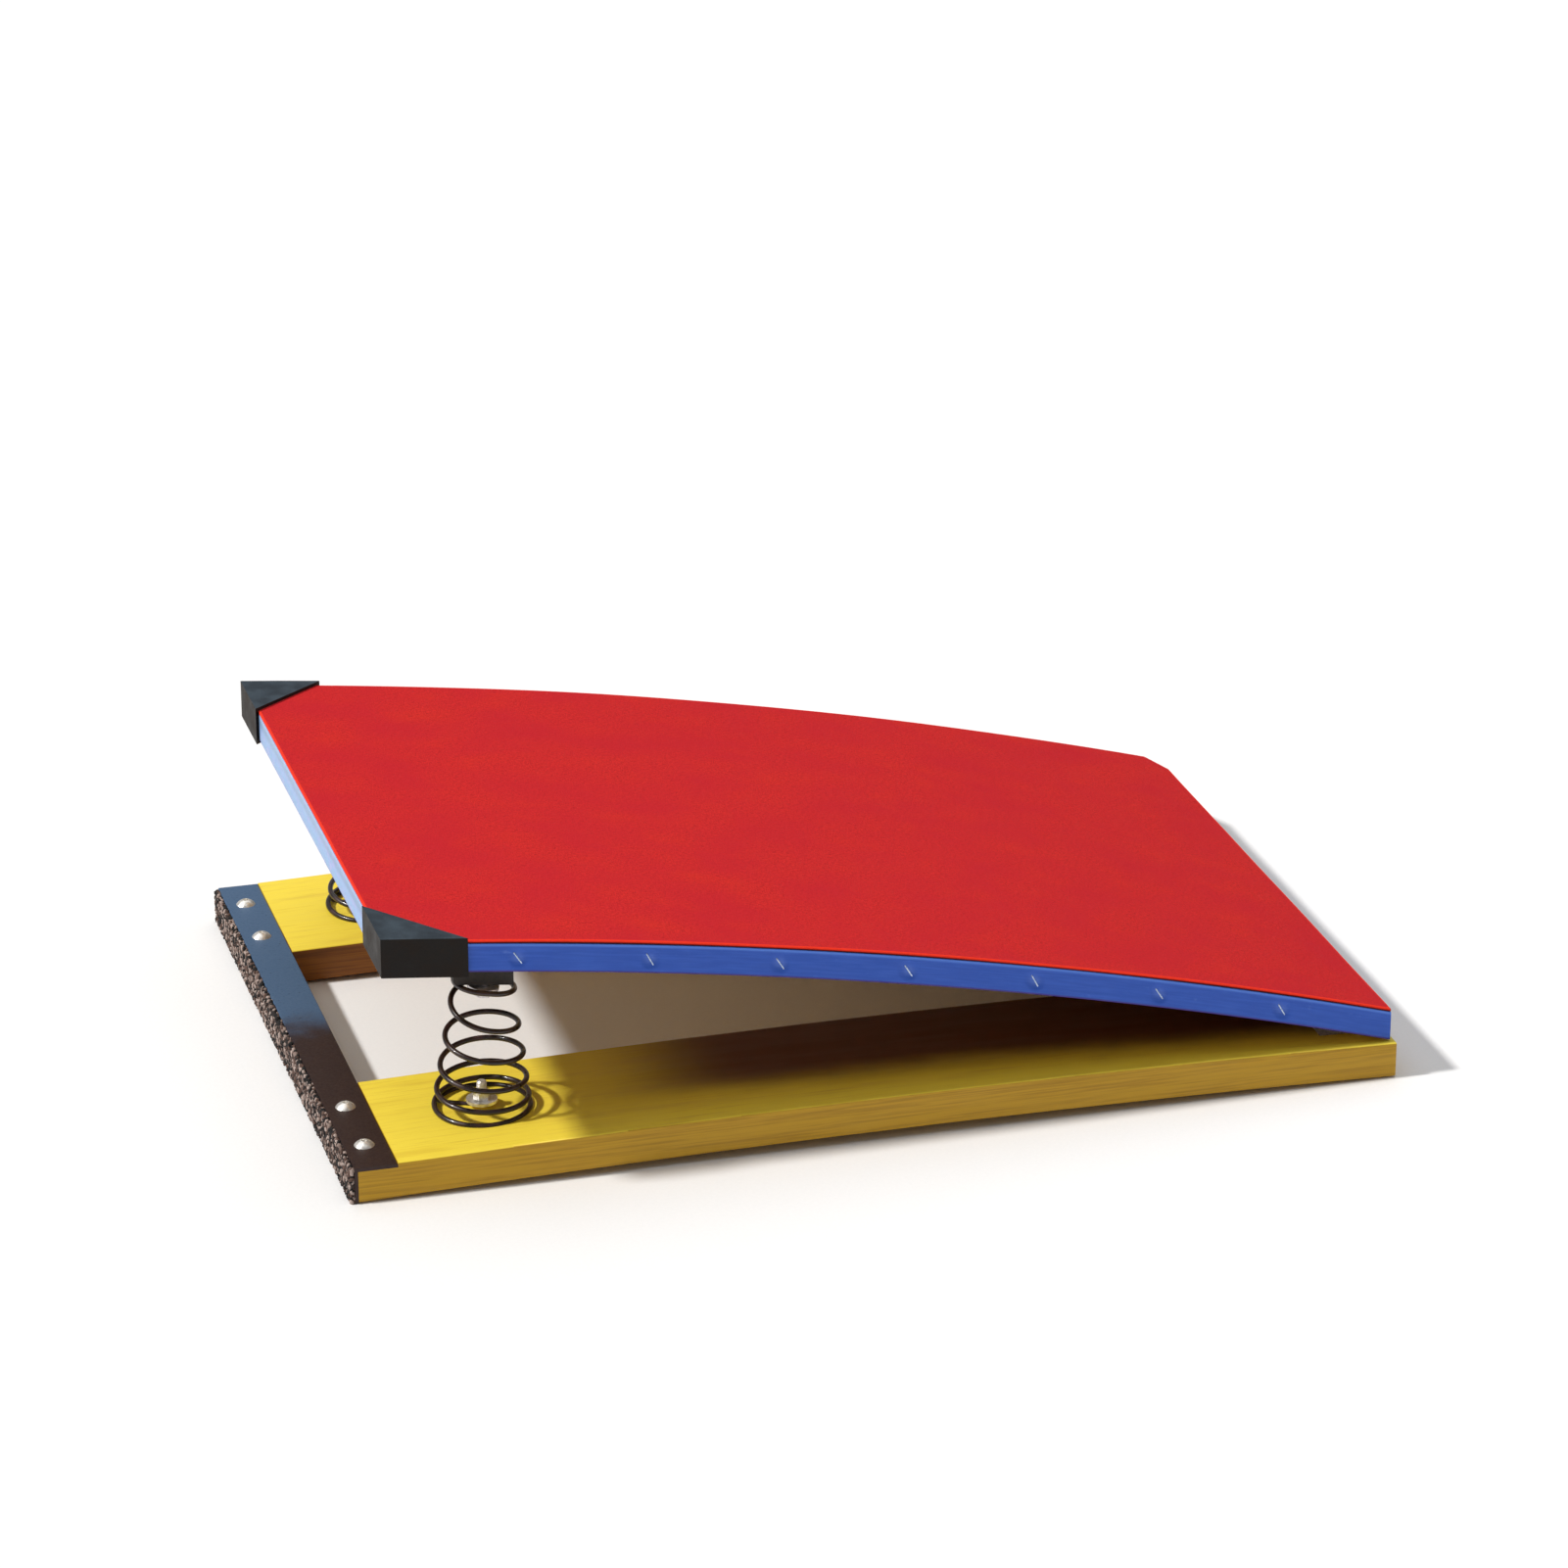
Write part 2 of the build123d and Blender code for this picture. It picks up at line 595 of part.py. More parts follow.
def staples(side):
    """A row of slanting wire staples through one side band."""
    half = STAPLE_CROWN / 2
    radius = STAPLE_WIRE / 2
    crown = Pos(0, 0, -half) * rod(radius, 0, STAPLE_CROWN)
    leg = Rot(-90, 0, 0) * rod(radius, 0, STAPLE_LEG)
    corners = [Pos(0, 0, z) * (leg + Sphere(radius)) for z in (-half, half)]
    one = crown + corners[0] + corners[1]
    row = []
    for i in range(STAPLE_COUNT):
        x = STAPLE_MIDDLE + (i - (STAPLE_COUNT - 1) / 2) * STAPLE_PITCH
        z = BOARD_ARCH.height(x, STAPLE_DEPTH)
        face = Pos(x, side * BOARD_HALF_WIDTH, z)
        turn = Rot(0, 0, 0) if side < 0 else Rot(0, 0, 180)
        row.append(face * turn * Rot(0, side * STAPLE_LEAN, 0) * one)
    return row


def guard_screws(side):
    """Screws up through a guard's floor into the panel."""
    screws = []
    one = DOWN * screw(SMALL_SCREW_HEAD, SMALL_SCREW_SHANK, GUARD_SCREW_LENGTH)
    for along, across in GUARD_SCREW_SPOTS:
        y = side * (BOARD_HALF_WIDTH - across)
        screws.append(BOARD_ARCH.seat(BOARD_HIGH_X + along, y, BAND_BOTTOM + GUARD_WALL) * one)
    return screws


def corner_guard(side, fitted):
    """A three-cornered cap over one high corner of the board."""
    x = BOARD_HIGH_X - GUARD_WALL
    y = side * (BOARD_HALF_WIDTH + GUARD_WALL)
    corners = [(x, y), (x + GUARD_LEG, y), (x, y - side * GUARD_LEG)]
    triangle = make_face(Polyline(*corners, close=True))
    cap = layer(triangle, -GUARD_WALL, BAND_BOTTOM + GUARD_WALL)
    return cut(cap - layer(outline(0), 0, BAND_BOTTOM), fitted)


def crossbar_screws():
    one = DOWN * screw(LARGE_SCREW_HEAD, LARGE_SCREW_SHANK, CROSSBAR_SCREW_LENGTH)
    return [BOARD_ARCH.seat(CROSSBAR_X, y, CROSSBAR_BOTTOM) * one for y in CROSSBAR_SCREW_SPOTS]


def spring_crossbar(fitted):
    """The bar under the board that the springs push against."""
    x0 = CROSSBAR_X - CROSSBAR_WIDTH / 2
    x1 = CROSSBAR_X + CROSSBAR_WIDTH / 2
    half = BOARD_HALF_WIDTH - CROSSBAR_SIDE_INSET
    bar = BOARD_ARCH.slab(x0, x1, BAND_BOTTOM, CROSSBAR_BOTTOM, -half, half)
    low = BOARD_ARCH.height(CROSSBAR_X, CROSSBAR_BOTTOM - CROSSBAR_DEPTH / 2)
    bar = fillet([e for e in bar.edges().filter_by(Axis.Y) if e.center().Z < low], CROSSBAR_EDGE_ROUND)
    return cut(bar, fitted)


# ---------------------------------------------------------------- assembly


def build():
    """Every node of the springboard, by name, as a list of solids."""
    hinges = hinge_parts()
    brackets = bracket_screws()
    rail_fittings = hinges["rail_mortises"] + hinges["rail_screws"] + brackets
    near_screws, far_screws = guard_screws(-1), guard_screws(1)
    bar_screws = crossbar_screws()
    top_bolts = spring_top_bolts()
    near_staples, far_staples = staples(-1), staples(1)
    strips = edge_bands()
    panel_fittings = hinges["board_mortises"] + hinges["board_screws"] + bar_screws
    panel_fittings += near_screws + far_screws + near_staples + far_staples
    low_band = cut(strips["low"], hinges["board_mortises"])
    return {
        "near_rail": [rail(-1, rail_fittings)],
        "far_rail": [rail(1, rail_fittings)],
        "front_angle": [front_angle()],
        "front_grip_strip": [front_grip_strip()],
        "front_angle_bolts": angle_bolts(),
        "front_angle_washers": angle_washers(),
        "front_angle_nuts": angle_nuts(),
        "rear_batten": [rear_batten(brackets)],
        "rear_brackets": rear_brackets(brackets),
        "rear_bracket_screws": brackets,
        "rubber_feet": feet(),
        "near_spring": [spring(-1)],
        "far_spring": [spring(1)],
        "spring_base_bolts": spring_bolts(),
        "spring_base_washers": spring_base_washers(),
        "spring_base_nuts": spring_base_nuts(),
        "hinge_rail_leaves": hinges["rail_leaves"],
        "hinge_pins": hinges["pins"],
        "hinge_rail_screws": hinges["rail_screws"],
        "board_panel": [board_panel(panel_fittings)],
        "foam_layer": [foam_layer()],
        "carpet_cover": [carpet_cover()],
        "near_edge_band": [cut(strips["near"], near_staples)],
        "far_edge_band": [cut(strips["far"], far_staples)],
        "high_end_band": [strips["high"]],
        "low_end_band": [low_band],
        "near_staples": near_staples,
        "far_staples": far_staples,
        "near_corner_guard": [corner_guard(-1, near_screws)],
        "far_corner_guard": [corner_guard(1, far_screws)],
        "corner_guard_screws": near_screws + far_screws,
        "spring_crossbar": [spring_crossbar(bar_screws + top_bolts)],
        "crossbar_screws": bar_screws,
        "spring_top_washers": spring_top_washers(),
        "spring_top_bolts": top_bolts,
        "hinge_board_leaves": hinges["board_leaves"],
        "hinge_board_screws": hinges["board_screws"],
    }


def main():
    os.makedirs("parts", exist_ok=True)
    for name, shapes in build().items():
        solids = [solid for shape in shapes for solid in shape.solids()]
        node = solids[0] if len(solids) == 1 else Compound(children=solids)
        export_step(node, f"parts/{name}.step")
    print("hinge axis at", round(HINGE_X, 3), round(HINGE_Z, 3))


main()
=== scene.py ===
"""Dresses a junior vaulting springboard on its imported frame.

The frame gives every size and place, in metres. This script remakes the soft, sprung and rough pieces (foam,
carpet, edge tapes, staples, corner guards, springs, bolt threads, grip strip and feet), gives every piece its
finish, and sets the studio.
"""
from __future__ import annotations

import logging
import math
from dataclasses import dataclass, field
from enum import Enum
from typing import Callable, Iterable, Sequence

import bmesh
import bpy
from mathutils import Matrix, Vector


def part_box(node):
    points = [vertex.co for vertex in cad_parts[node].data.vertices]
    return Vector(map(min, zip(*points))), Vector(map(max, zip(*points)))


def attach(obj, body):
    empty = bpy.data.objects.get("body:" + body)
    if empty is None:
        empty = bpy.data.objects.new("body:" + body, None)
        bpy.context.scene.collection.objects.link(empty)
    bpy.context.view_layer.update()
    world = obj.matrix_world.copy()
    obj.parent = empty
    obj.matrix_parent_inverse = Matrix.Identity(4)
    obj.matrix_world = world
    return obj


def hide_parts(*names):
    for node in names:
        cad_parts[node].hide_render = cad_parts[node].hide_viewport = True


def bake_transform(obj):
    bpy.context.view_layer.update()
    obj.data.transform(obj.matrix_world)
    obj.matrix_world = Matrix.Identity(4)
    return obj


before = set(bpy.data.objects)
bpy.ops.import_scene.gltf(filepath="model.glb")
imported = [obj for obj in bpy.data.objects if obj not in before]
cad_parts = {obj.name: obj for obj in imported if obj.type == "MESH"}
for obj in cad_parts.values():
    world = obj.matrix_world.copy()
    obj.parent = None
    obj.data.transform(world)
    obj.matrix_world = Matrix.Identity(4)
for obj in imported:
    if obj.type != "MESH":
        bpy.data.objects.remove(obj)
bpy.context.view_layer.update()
LOG = logging.getLogger("springboard")
MM = 0.001
FLAT = "flat_place"  # the attribute that holds a point's place on the flat cut: along, across, depth
RIM = "rim"  # the attribute that holds how far a point is from the edge of its flat cut
SHADE = "shade"  # the attribute that holds one number from 0 to 1 for each granule


class Body(str, Enum):
    """The two bodies that the hinge joins."""

    BASE = "base_frame"
    BOARD = "board"


class Slot(str, Enum):
    """The record's material slots."""

    YELLOW_WOOD = "yellow_painted_wood"
    BLUED_STEEL = "blued_steel_angle"
    GRANULATE = "granulate_rubber"
    RUBBER = "black_rubber"
    NICKEL = "nickel_plated_steel"
    ZINC = "zinc_plated_steel"
    SPRING_STEEL = "black_spring_steel"
    PLYWOOD = "birch_plywood"
    FOAM = "grey_foam"
    CARPET = "red_carpet"
    VINYL = "blue_vinyl"
    STAPLE = "staple_wire"
    PLASTIC = "black_moulded_plastic"
    STAINED_WOOD = "black_stained_wood"


# ---------------------------------------------------------------- node and mesh helpers


def linear(colour: str) -> tuple[float, float, float, float]:
    """Turn an sRGB hex colour into linear light.

    Args:
        colour: The colour as "#RRGGBB".

    Returns:
        Red, green, blue and an alpha of 1.
    """
    parts = [int(colour[i : i + 2], 16) / 255 for i in (1, 3, 5)]
    bent = [c / 12.92 if c <= 0.04045 else ((c + 0.055) / 1.055) ** 2.4 for c in parts]
    return (*bent, 1.0)


def add(tree: bpy.types.NodeTree, kind: str, inputs: dict | None = None, **settings) -> bpy.types.Node:
    """Add a node to a tree, with its settings, values and links.

    Args:
        tree: The tree that gets the node.
        kind: The node's type name.
        inputs: For an input's name or number, a value or the output that feeds it.
        settings: The node's own properties.

    Returns:
        The new node.
    """
    node = tree.nodes.new(kind)
    for name, value in settings.items():
        setattr(node, name, value)
    for key, value in (inputs or {}).items():
        if isinstance(value, bpy.types.NodeSocket):
            tree.links.new(value, node.inputs[key])
        else:
            node.inputs[key].default_value = value
    return node


def new_piece(name: str, mesh: bpy.types.Mesh) -> bpy.types.Object:
    """Make an object at the origin from a mesh and link it to the scene.

    Args:
        name: The piece's name.
        mesh: Its mesh, already in place.

    Returns:
        The new object.
    """
    piece = bpy.data.objects.new(name, mesh)
    bpy.context.scene.collection.objects.link(piece)
    return piece


def settle(piece: bpy.types.Object) -> bpy.types.Object:
    """Turn a piece and its modifiers into one plain mesh.

    Args:
        piece: The piece, with its modifiers still live.

    Returns:
        The same object, with no modifiers.
    """
    bpy.context.view_layer.update()
    evaluated = piece.evaluated_get(bpy.context.evaluated_depsgraph_get())
    mesh = bpy.data.meshes.new_from_object(evaluated)
    piece.modifiers.clear()
    piece.data = mesh
    mesh.name = piece.name
    return piece


def smooth(piece: bpy.types.Object, sharp_over: float = 40.0) -> bpy.types.Object:
    """Shade a piece smooth, keep its sharp edges and let its large faces lead the normals.

    Args:
        piece: The piece to shade.
        sharp_over: Edges that turn by more degrees than this stay sharp.

    Returns:
        The same piece, settled.
    """
    piece.data.polygons.foreach_set("use_smooth", [True] * len(piece.data.polygons))
    piece.data.set_sharp_from_angle(angle=math.radians(sharp_over))
    weighted = piece.modifiers.new("weighted", "WEIGHTED_NORMAL")
    weighted.keep_sharp = True
    return settle(piece)


def dress(piece: bpy.types.Object, material: bpy.types.Material) -> None:
    """Give a piece one material, on its object's slot.

    Args:
        piece: The piece or frame node.
        material: The material it gets.
    """
    if not piece.material_slots:
        piece.data.materials.append(material)
    for one in piece.material_slots:
        one.link = "OBJECT"
        one.material = material


class GrowthTree:
    """A geometry node tree with named inputs that ends in a plain, dressed mesh."""

    def __init__(self, name: str) -> None:
        """Start a tree with its geometry and material inputs.

        Args:
            name: The tree's name.
        """
        self.tree = bpy.data.node_groups.new(name, "GeometryNodeTree")
        face = self.tree.interface
        face.new_socket("Geometry", in_out="INPUT", socket_type="NodeSocketGeometry")
        face.new_socket("Material", in_out="INPUT", socket_type="NodeSocketMaterial")
        face.new_socket("Geometry", in_out="OUTPUT", socket_type="NodeSocketGeometry")

    def open(self, kind: str, *names: str) -> None:
        """Add named inputs of one kind.

        Args:
            kind: "Float", "Int", "Vector" or "Object".
            names: The inputs' names.
        """
        for name in names:
            self.tree.interface.new_socket(name, in_out="INPUT", socket_type=f"NodeSocket{kind}")

    def given(self) -> bpy.types.bpy_prop_collection:
        """Return the outputs of a new Group Input node."""
        return add(self.tree, "NodeGroupInput").outputs

    def close(self, grown: bpy.types.NodeSocket, given: bpy.types.bpy_prop_collection) -> None:
        """End the tree: realise what was placed, shade it smooth and set its material.

        Args:
            grown: The geometry so far.
            given: The Group Input's outputs.
        """
        real = add(self.tree, "GeometryNodeRealizeInstances", {"Geometry": grown})
        shaded = add(self.tree, "GeometryNodeSetShadeSmooth", {"Geometry": real.outputs[0]})
        dressed = add(
            self.tree,
            "GeometryNodeSetMaterial",
            {"Geometry": shaded.outputs[0], "Material": given["Material"]},
        )
        add(self.tree, "NodeGroupOutput", {0: dressed.outputs[0]})

    def grow(self, piece: bpy.types.Object, **values) -> bpy.types.Object:
        """Run the tree on a piece and keep the result as its mesh.

        Args:
            piece: The piece whose mesh the tree starts from.
            values: The inputs, by name with underscores for spaces.

        Returns:
            The same piece.
        """
        modifier = piece.modifiers.new("growth", "NODES")
        modifier.node_group = self.tree
        for item in self.tree.interface.items_tree:
            key = item.name.replace(" ", "_")
            if item.in_out == "INPUT" and key in values:
                modifier[item.identifier] = values[key]
        return settle(piece)


def sweep_tree() -> GrowthTree:
    """Make the tree that turns a line of points into round wire.

    Returns:
        A tree with the inputs Wire Radius and Sides.
    """
    growth = GrowthTree("round_wire")
    growth.open("Float", "Wire Radius")
    growth.open("Int", "Sides")
    given = growth.given()
    route = add(growth.tree, "GeometryNodeMeshToCurve", {"Mesh": given["Geometry"]})
    ring = add(
        growth.tree,
        "GeometryNodeCurvePrimitiveCircle",
        {"Resolution": given["Sides"], "Radius": given["Wire Radius"]},
    )
    wire = add(
        growth.tree,
        "GeometryNodeCurveToMesh",
        {"Curve": route.outputs[0], "Profile Curve": ring.outputs["Curve"], "Fill Caps": True},
    )
    growth.close(wire.outputs[0], given)
    return growth


def repeat_tree() -> GrowthTree:
    """Make the tree that sets one shape on every point, turned as the point's "turn" attribute says.

    Returns:
        A tree with the inputs Shape, Size Spread and Seed.
    """
    growth = GrowthTree("set_on_points")
    growth.open("Object", "Shape")
    growth.open("Float", "Size Spread")
    growth.open("Int", "Seed")
    given = growth.given()
    tree = growth.tree
    shape = add(tree, "GeometryNodeObjectInfo", {"Object": given["Shape"]})
    turn = add(tree, "GeometryNodeInputNamedAttribute", {"Name": "turn"}, data_type="FLOAT_VECTOR")
    low = add(tree, "ShaderNodeMath", {0: 1.0, 1: given["Size Spread"]}, operation="SUBTRACT")
    high = add(tree, "ShaderNodeMath", {0: 1.0, 1: given["Size Spread"]}, operation="ADD")
    size = add(
        tree,
        "FunctionNodeRandomValue",
        {2: low.outputs[0], 3: high.outputs[0], "Seed": given["Seed"]},
        data_type="FLOAT",
    )
    points = add(tree, "GeometryNodeMeshToPoints", {"Mesh": given["Geometry"]})
    placed = add(
        tree,
        "GeometryNodeInstanceOnPoints",
        {
            "Points": points.outputs[0],
            "Instance": shape.outputs["Geometry"],
            "Rotation": turn.outputs[0],
            "Scale": size.outputs[1],
        },
    )
    growth.close(placed.outputs[0], given)
    return growth


def granule_tree() -> GrowthTree:
    """Make the tree that beds crumbs of rubber in the faces of a mesh.

    Returns:
        A tree with the inputs Per Area, Crumb Radius, Roughen and Seed.
    """
    growth = GrowthTree("bedded_granules")
    growth.open("Float", "Per Area", "Crumb Radius", "Roughen")
    growth.open("Int", "Seed")
    given = growth.given()
    tree = growth.tree
    spots = add(
        tree,
        "GeometryNodeDistributePointsOnFaces",
        {"Mesh": given["Geometry"], "Density": given["Per Area"], "Seed": given["Seed"]},
    )
    shade = add(
        tree, "FunctionNodeRandomValue", {2: 0.0, 3: 1.0, "Seed": given["Seed"]}, data_type="FLOAT"
    )
    marked = add(
        tree,
        "GeometryNodeStoreNamedAttribute",
        {"Geometry": spots.outputs["Points"], "Name": SHADE, "Value": shade.outputs[1]},
        data_type="FLOAT",
        domain="POINT",
    )
    crumb = add(tree, "GeometryNodeMeshIcoSphere", {"Radius": given["Crumb Radius"], "Subdivisions": 1})
    turn = add(
        tree,
        "FunctionNodeRandomValue",
        {0: (0.0, 0.0, 0.0), 1: (math.tau, math.tau, math.tau), "Seed": given["Seed"]},
        data_type="FLOAT_VECTOR",
    )
    size = add(
        tree,
        "FunctionNodeRandomValue",
        {0: (0.55, 0.45, 0.4), 1: (1.5, 1.15, 0.9), "Seed": given["Seed"]},
        data_type="FLOAT_VECTOR",
    )
    placed = add(
        tree,
        "GeometryNodeInstanceOnPoints",
        {
            "Points": marked.outputs[0],
            "Instance": crumb.outputs["Mesh"],
            "Rotation": turn.outputs[0],
            "Scale": size.outputs[0],
        },
    )
    real = add(tree, "GeometryNodeRealizeInstances", {"Geometry": placed.outputs[0]})
    lumps = add(tree, "ShaderNodeTexNoise", {"Scale": 900.0, "Detail": 2.0})
    middle = add(
        tree, "ShaderNodeVectorMath", {0: lumps.outputs["Color"], 1: (0.5, 0.5, 0.5)}, operation="SUBTRACT"
    )
    push = add(
        tree,
        "ShaderNodeVectorMath",
        {0: middle.outputs[0], "Scale": given["Roughen"]},
        operation="SCALE",
    )
    rough = add(
        tree, "GeometryNodeSetPosition", {"Geometry": real.outputs[0], "Offset": push.outputs[0]}
    )
    both = add(tree, "GeometryNodeJoinGeometry")
    tree.links.new(rough.outputs[0], both.inputs[0])
    tree.links.new(given["Geometry"], both.inputs[0])
    growth.close(both.outputs[0], given)
    return growth


def line_mesh(name: str, points: Sequence[Vector], joined: bool = True) -> bpy.types.Mesh:
    """Make a mesh of points, joined in a line or loose.

    Args:
        name: The mesh's name.
        points: The points, in order.
        joined: Whether each point is joined to the next.

    Returns:
        The mesh.
    """
    mesh = bpy.data.meshes.new(name)
    edges = [(i, i + 1) for i in range(len(points) - 1)] if joined else []
    mesh.from_pydata([tuple(p) for p in points], edges, [])
    return mesh


# ---------------------------------------------------------------- shapes that follow the frame


@dataclass(frozen=True)
class Arch:
    """The round arch of a bent layer, in the XZ plane."""

    middle_x: float
    middle_z: float
    radius: float

    @classmethod
    def over(cls, node: str) -> "Arch":
        """Fit the arch that a frame node's upper side follows.

        Args:
            node: The node's name.

        Returns:
            The arch through its two highest ends and the point that stands furthest above them.
        """
        points = [(v.co.x, v.co.z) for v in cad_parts[node].data.vertices]
        low, high = min(p[0] for p in points), max(p[0] for p in points)
        first = max((p for p in points if p[0] < low + MM), key=lambda p: p[1])
        last = max((p for p in points if p[0] > high - MM), key=lambda p: p[1])
        dx, dz = last[0] - first[0], last[1] - first[1]
        crown = max(points, key=lambda p: (p[1] - first[1]) * dx - (p[0] - first[0]) * dz)
        (ax, az), (bx, bz), (cx, cz) = first, crown, last
        twice = 2 * (ax * (bz - cz) + bx * (cz - az) + cx * (az - bz))
        a, b, c = ax * ax + az * az, bx * bx + bz * bz, cx * cx + cz * cz
        mx = (a * (bz - cz) + b * (cz - az) + c * (az - bz)) / twice
        mz = (a * (cx - bx) + b * (ax - cx) + c * (bx - ax)) / twice
        return cls(mx, mz, math.hypot(ax - mx, az - mz))

    def height(self, x: float, depth: float = 0.0) -> float:
        """Return how high the layer is at x, depth below its upper side."""
        return self.middle_z + math.sqrt((self.radius - depth) ** 2 - (x - self.middle_x) ** 2)

    def along(self, x: float) -> Vector:
        """Return the unit vector that runs along the arch at x, towards the hinge."""
        lean = math.asin((x - self.middle_x) / self.radius)
        return Vector((math.cos(lean), 0.0, -math.sin(lean)))

    def up(self, x: float) -> Vector:
        """Return the unit vector that stands on the arch at x."""
        lean = math.asin((x - self.middle_x) / self.radius)
        return Vector((math.sin(lean), 0.0, math.cos(lean)))

    def run(self, x: float) -> float:
        """Return the length of the arch from its top to x."""
        return self.radius * math.asin((x - self.middle_x) / self.radius)


def inset(outline: Sequence[tuple[float, float]], by: float) -> list[tuple[float, float]]:
    """Move every side of a convex outline inwards.

    Args:
        outline: Its corners, counter-clockwise seen from above.
        by: How far the sides move.

    Returns:
        The new corners, in the same order.
    """
    count = len(outline)
    lines = []
    for i, (x, y) in enumerate(outline):
        dx, dy = outline[(i + 1) % count][0] - x, outline[(i + 1) % count][1] - y
        size = math.hypot(dx, dy)
        nx, ny = -dy / size, dx / size
        lines.append((nx, ny, nx * x + ny * y + by))
    corners = []
    for i in range(count):
        (a, b, c), (d, e, f) = lines[i - 1], lines[i]
        across = a * e - b * d
        corners.append(((c * e - b * f) / across, (a * f - c * d) / across))
    return corners


def from_edge(outline: Sequence[tuple[float, float]], x: float, y: float) -> float:
    """Work out how far a point inside a convex outline is from its nearest side.

    Args:
        outline: The outline's corners, counter-clockwise.
        x: The point's x.
        y: Its y.

    Returns:
        The distance.
    """
    gaps = []
    for (ax, ay), (bx, by) in zip(outline, [*outline[1:], outline[0]]):
        gaps.append(((bx - ax) * (y - ay) - (by - ay) * (x - ax)) / math.hypot(bx - ax, by - ay))
    return min(gaps)


def bent_layer(
    name: str,
    outline: Sequence[tuple[float, float]],
    depths: tuple[float, float],
    arch: Arch,
    edge: float,
    step: float,
    swell: Callable[[Vector], float] | None = None,
    hem: float = 0.0,
) -> bpy.types.Object:
    """Cut a layer flat, round its edges and bend it over an arch.

    Args:
        name: The piece's name.
        outline: Its corners seen from above, counter-clockwise.
        depths: Its upper and lower side, below the arch.
        arch: The arch that it is bent over.
        edge: The radius of its rounded edges.
        step: How far apart its rows of points are.
        swell: For a flat point, how far it stands above its place.
        hem: Where it isn't 0, a row of points also runs this far inside the edge.

    Returns:
        The piece, with each point's flat place in an attribute.
    """
    made = bmesh.new()
    lower = [made.verts.new((x, y, -depths[1])) for x, y in outline]
    base = made.faces.new(lower)
    sides = bmesh.ops.extrude_face_region(made, geom=[base])
    raised = [v for v in sides["geom"] if isinstance(v, bmesh.types.BMVert)]
    bmesh.ops.translate(made, verts=raised, vec=(0, 0, depths[1] - depths[0]))
    bmesh.ops.recalc_face_normals(made, faces=made.faces)
    bmesh.ops.bevel(
        made, geom=made.edges[:], offset=edge, segments=3, profile=0.5, affect="EDGES", clamp_overlap=True
    )
    for axis in (0, 1):
        low = min(v.co[axis] for v in made.verts)
        high = max(v.co[axis] for v in made.verts)
        count = int((high - low) / step)
        normal = Vector((1, 0, 0)) if axis == 0 else Vector((0, 1, 0))
        for i in range(1, count):
            spot = normal * (low + (high - low) * i / count)
            whole = made.verts[:] + made.edges[:] + made.faces[:]
            bmesh.ops.bisect_plane(made, geom=whole, plane_co=spot, plane_no=normal, dist=1e-7)
    within = inset(outline, hem) if hem else []
    for (ax, ay), (bx, by) in zip(within, [*within[1:], *within[:1]]):
        whole = made.verts[:] + made.edges[:] + made.faces[:]
        normal = Vector((ay - by, bx - ax, 0)).normalized()
        bmesh.ops.bisect_plane(made, geom=whole, plane_co=Vector((ax, ay, 0)), plane_no=normal, dist=1e-7)
    place = made.verts.layers.float_vector.new(FLAT)
    rim = made.verts.layers.float.new(RIM)
    for v in made.verts:
        flat = v.co.copy()
        depth = -flat.z
        v[place] = (arch.run(flat.x), flat.y, depth)
        v[rim] = from_edge(outline, flat.x, flat.y)
        rise = swell(flat) if swell else 0.0
        v.co.z = arch.height(flat.x, depth) + rise
    mesh = bpy.data.meshes.new(name)
    made.to_mesh(mesh)
    made.free()
    return smooth(new_piece(name, mesh), 60.0)


def eased_copy(name: str, node: str, radius: float) -> bpy.types.Object:
    """Copy a frame node and ease its sharp edges, as a mould or a file leaves them.

    Args:
        name: The piece's name.
        node: The frame node that it copies.
        radius: How much the edges are rounded.

    Returns:
        The eased piece.
    """
    made = bmesh.new()
    made.from_mesh(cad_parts[node].data)
    bmesh.ops.remove_doubles(made, verts=made.verts, dist=1e-6)
    bmesh.ops.dissolve_limit(made, angle_limit=math.radians(0.4), verts=made.verts, edges=made.edges)
    turning = [e for e in made.edges if len(e.link_faces) == 2 and e.calc_face_angle() > math.radians(35)]
    bmesh.ops.bevel(
        made, geom=turning, offset=radius, segments=3, profile=0.5, affect="EDGES", clamp_overlap=True
    )
    mesh = bpy.data.meshes.new(name)
    made.to_mesh(mesh)
    made.free()
    mesh.materials.clear()
    return smooth(new_piece(name, mesh), 50.0)


# ---------------------------------------------------------------- finishes


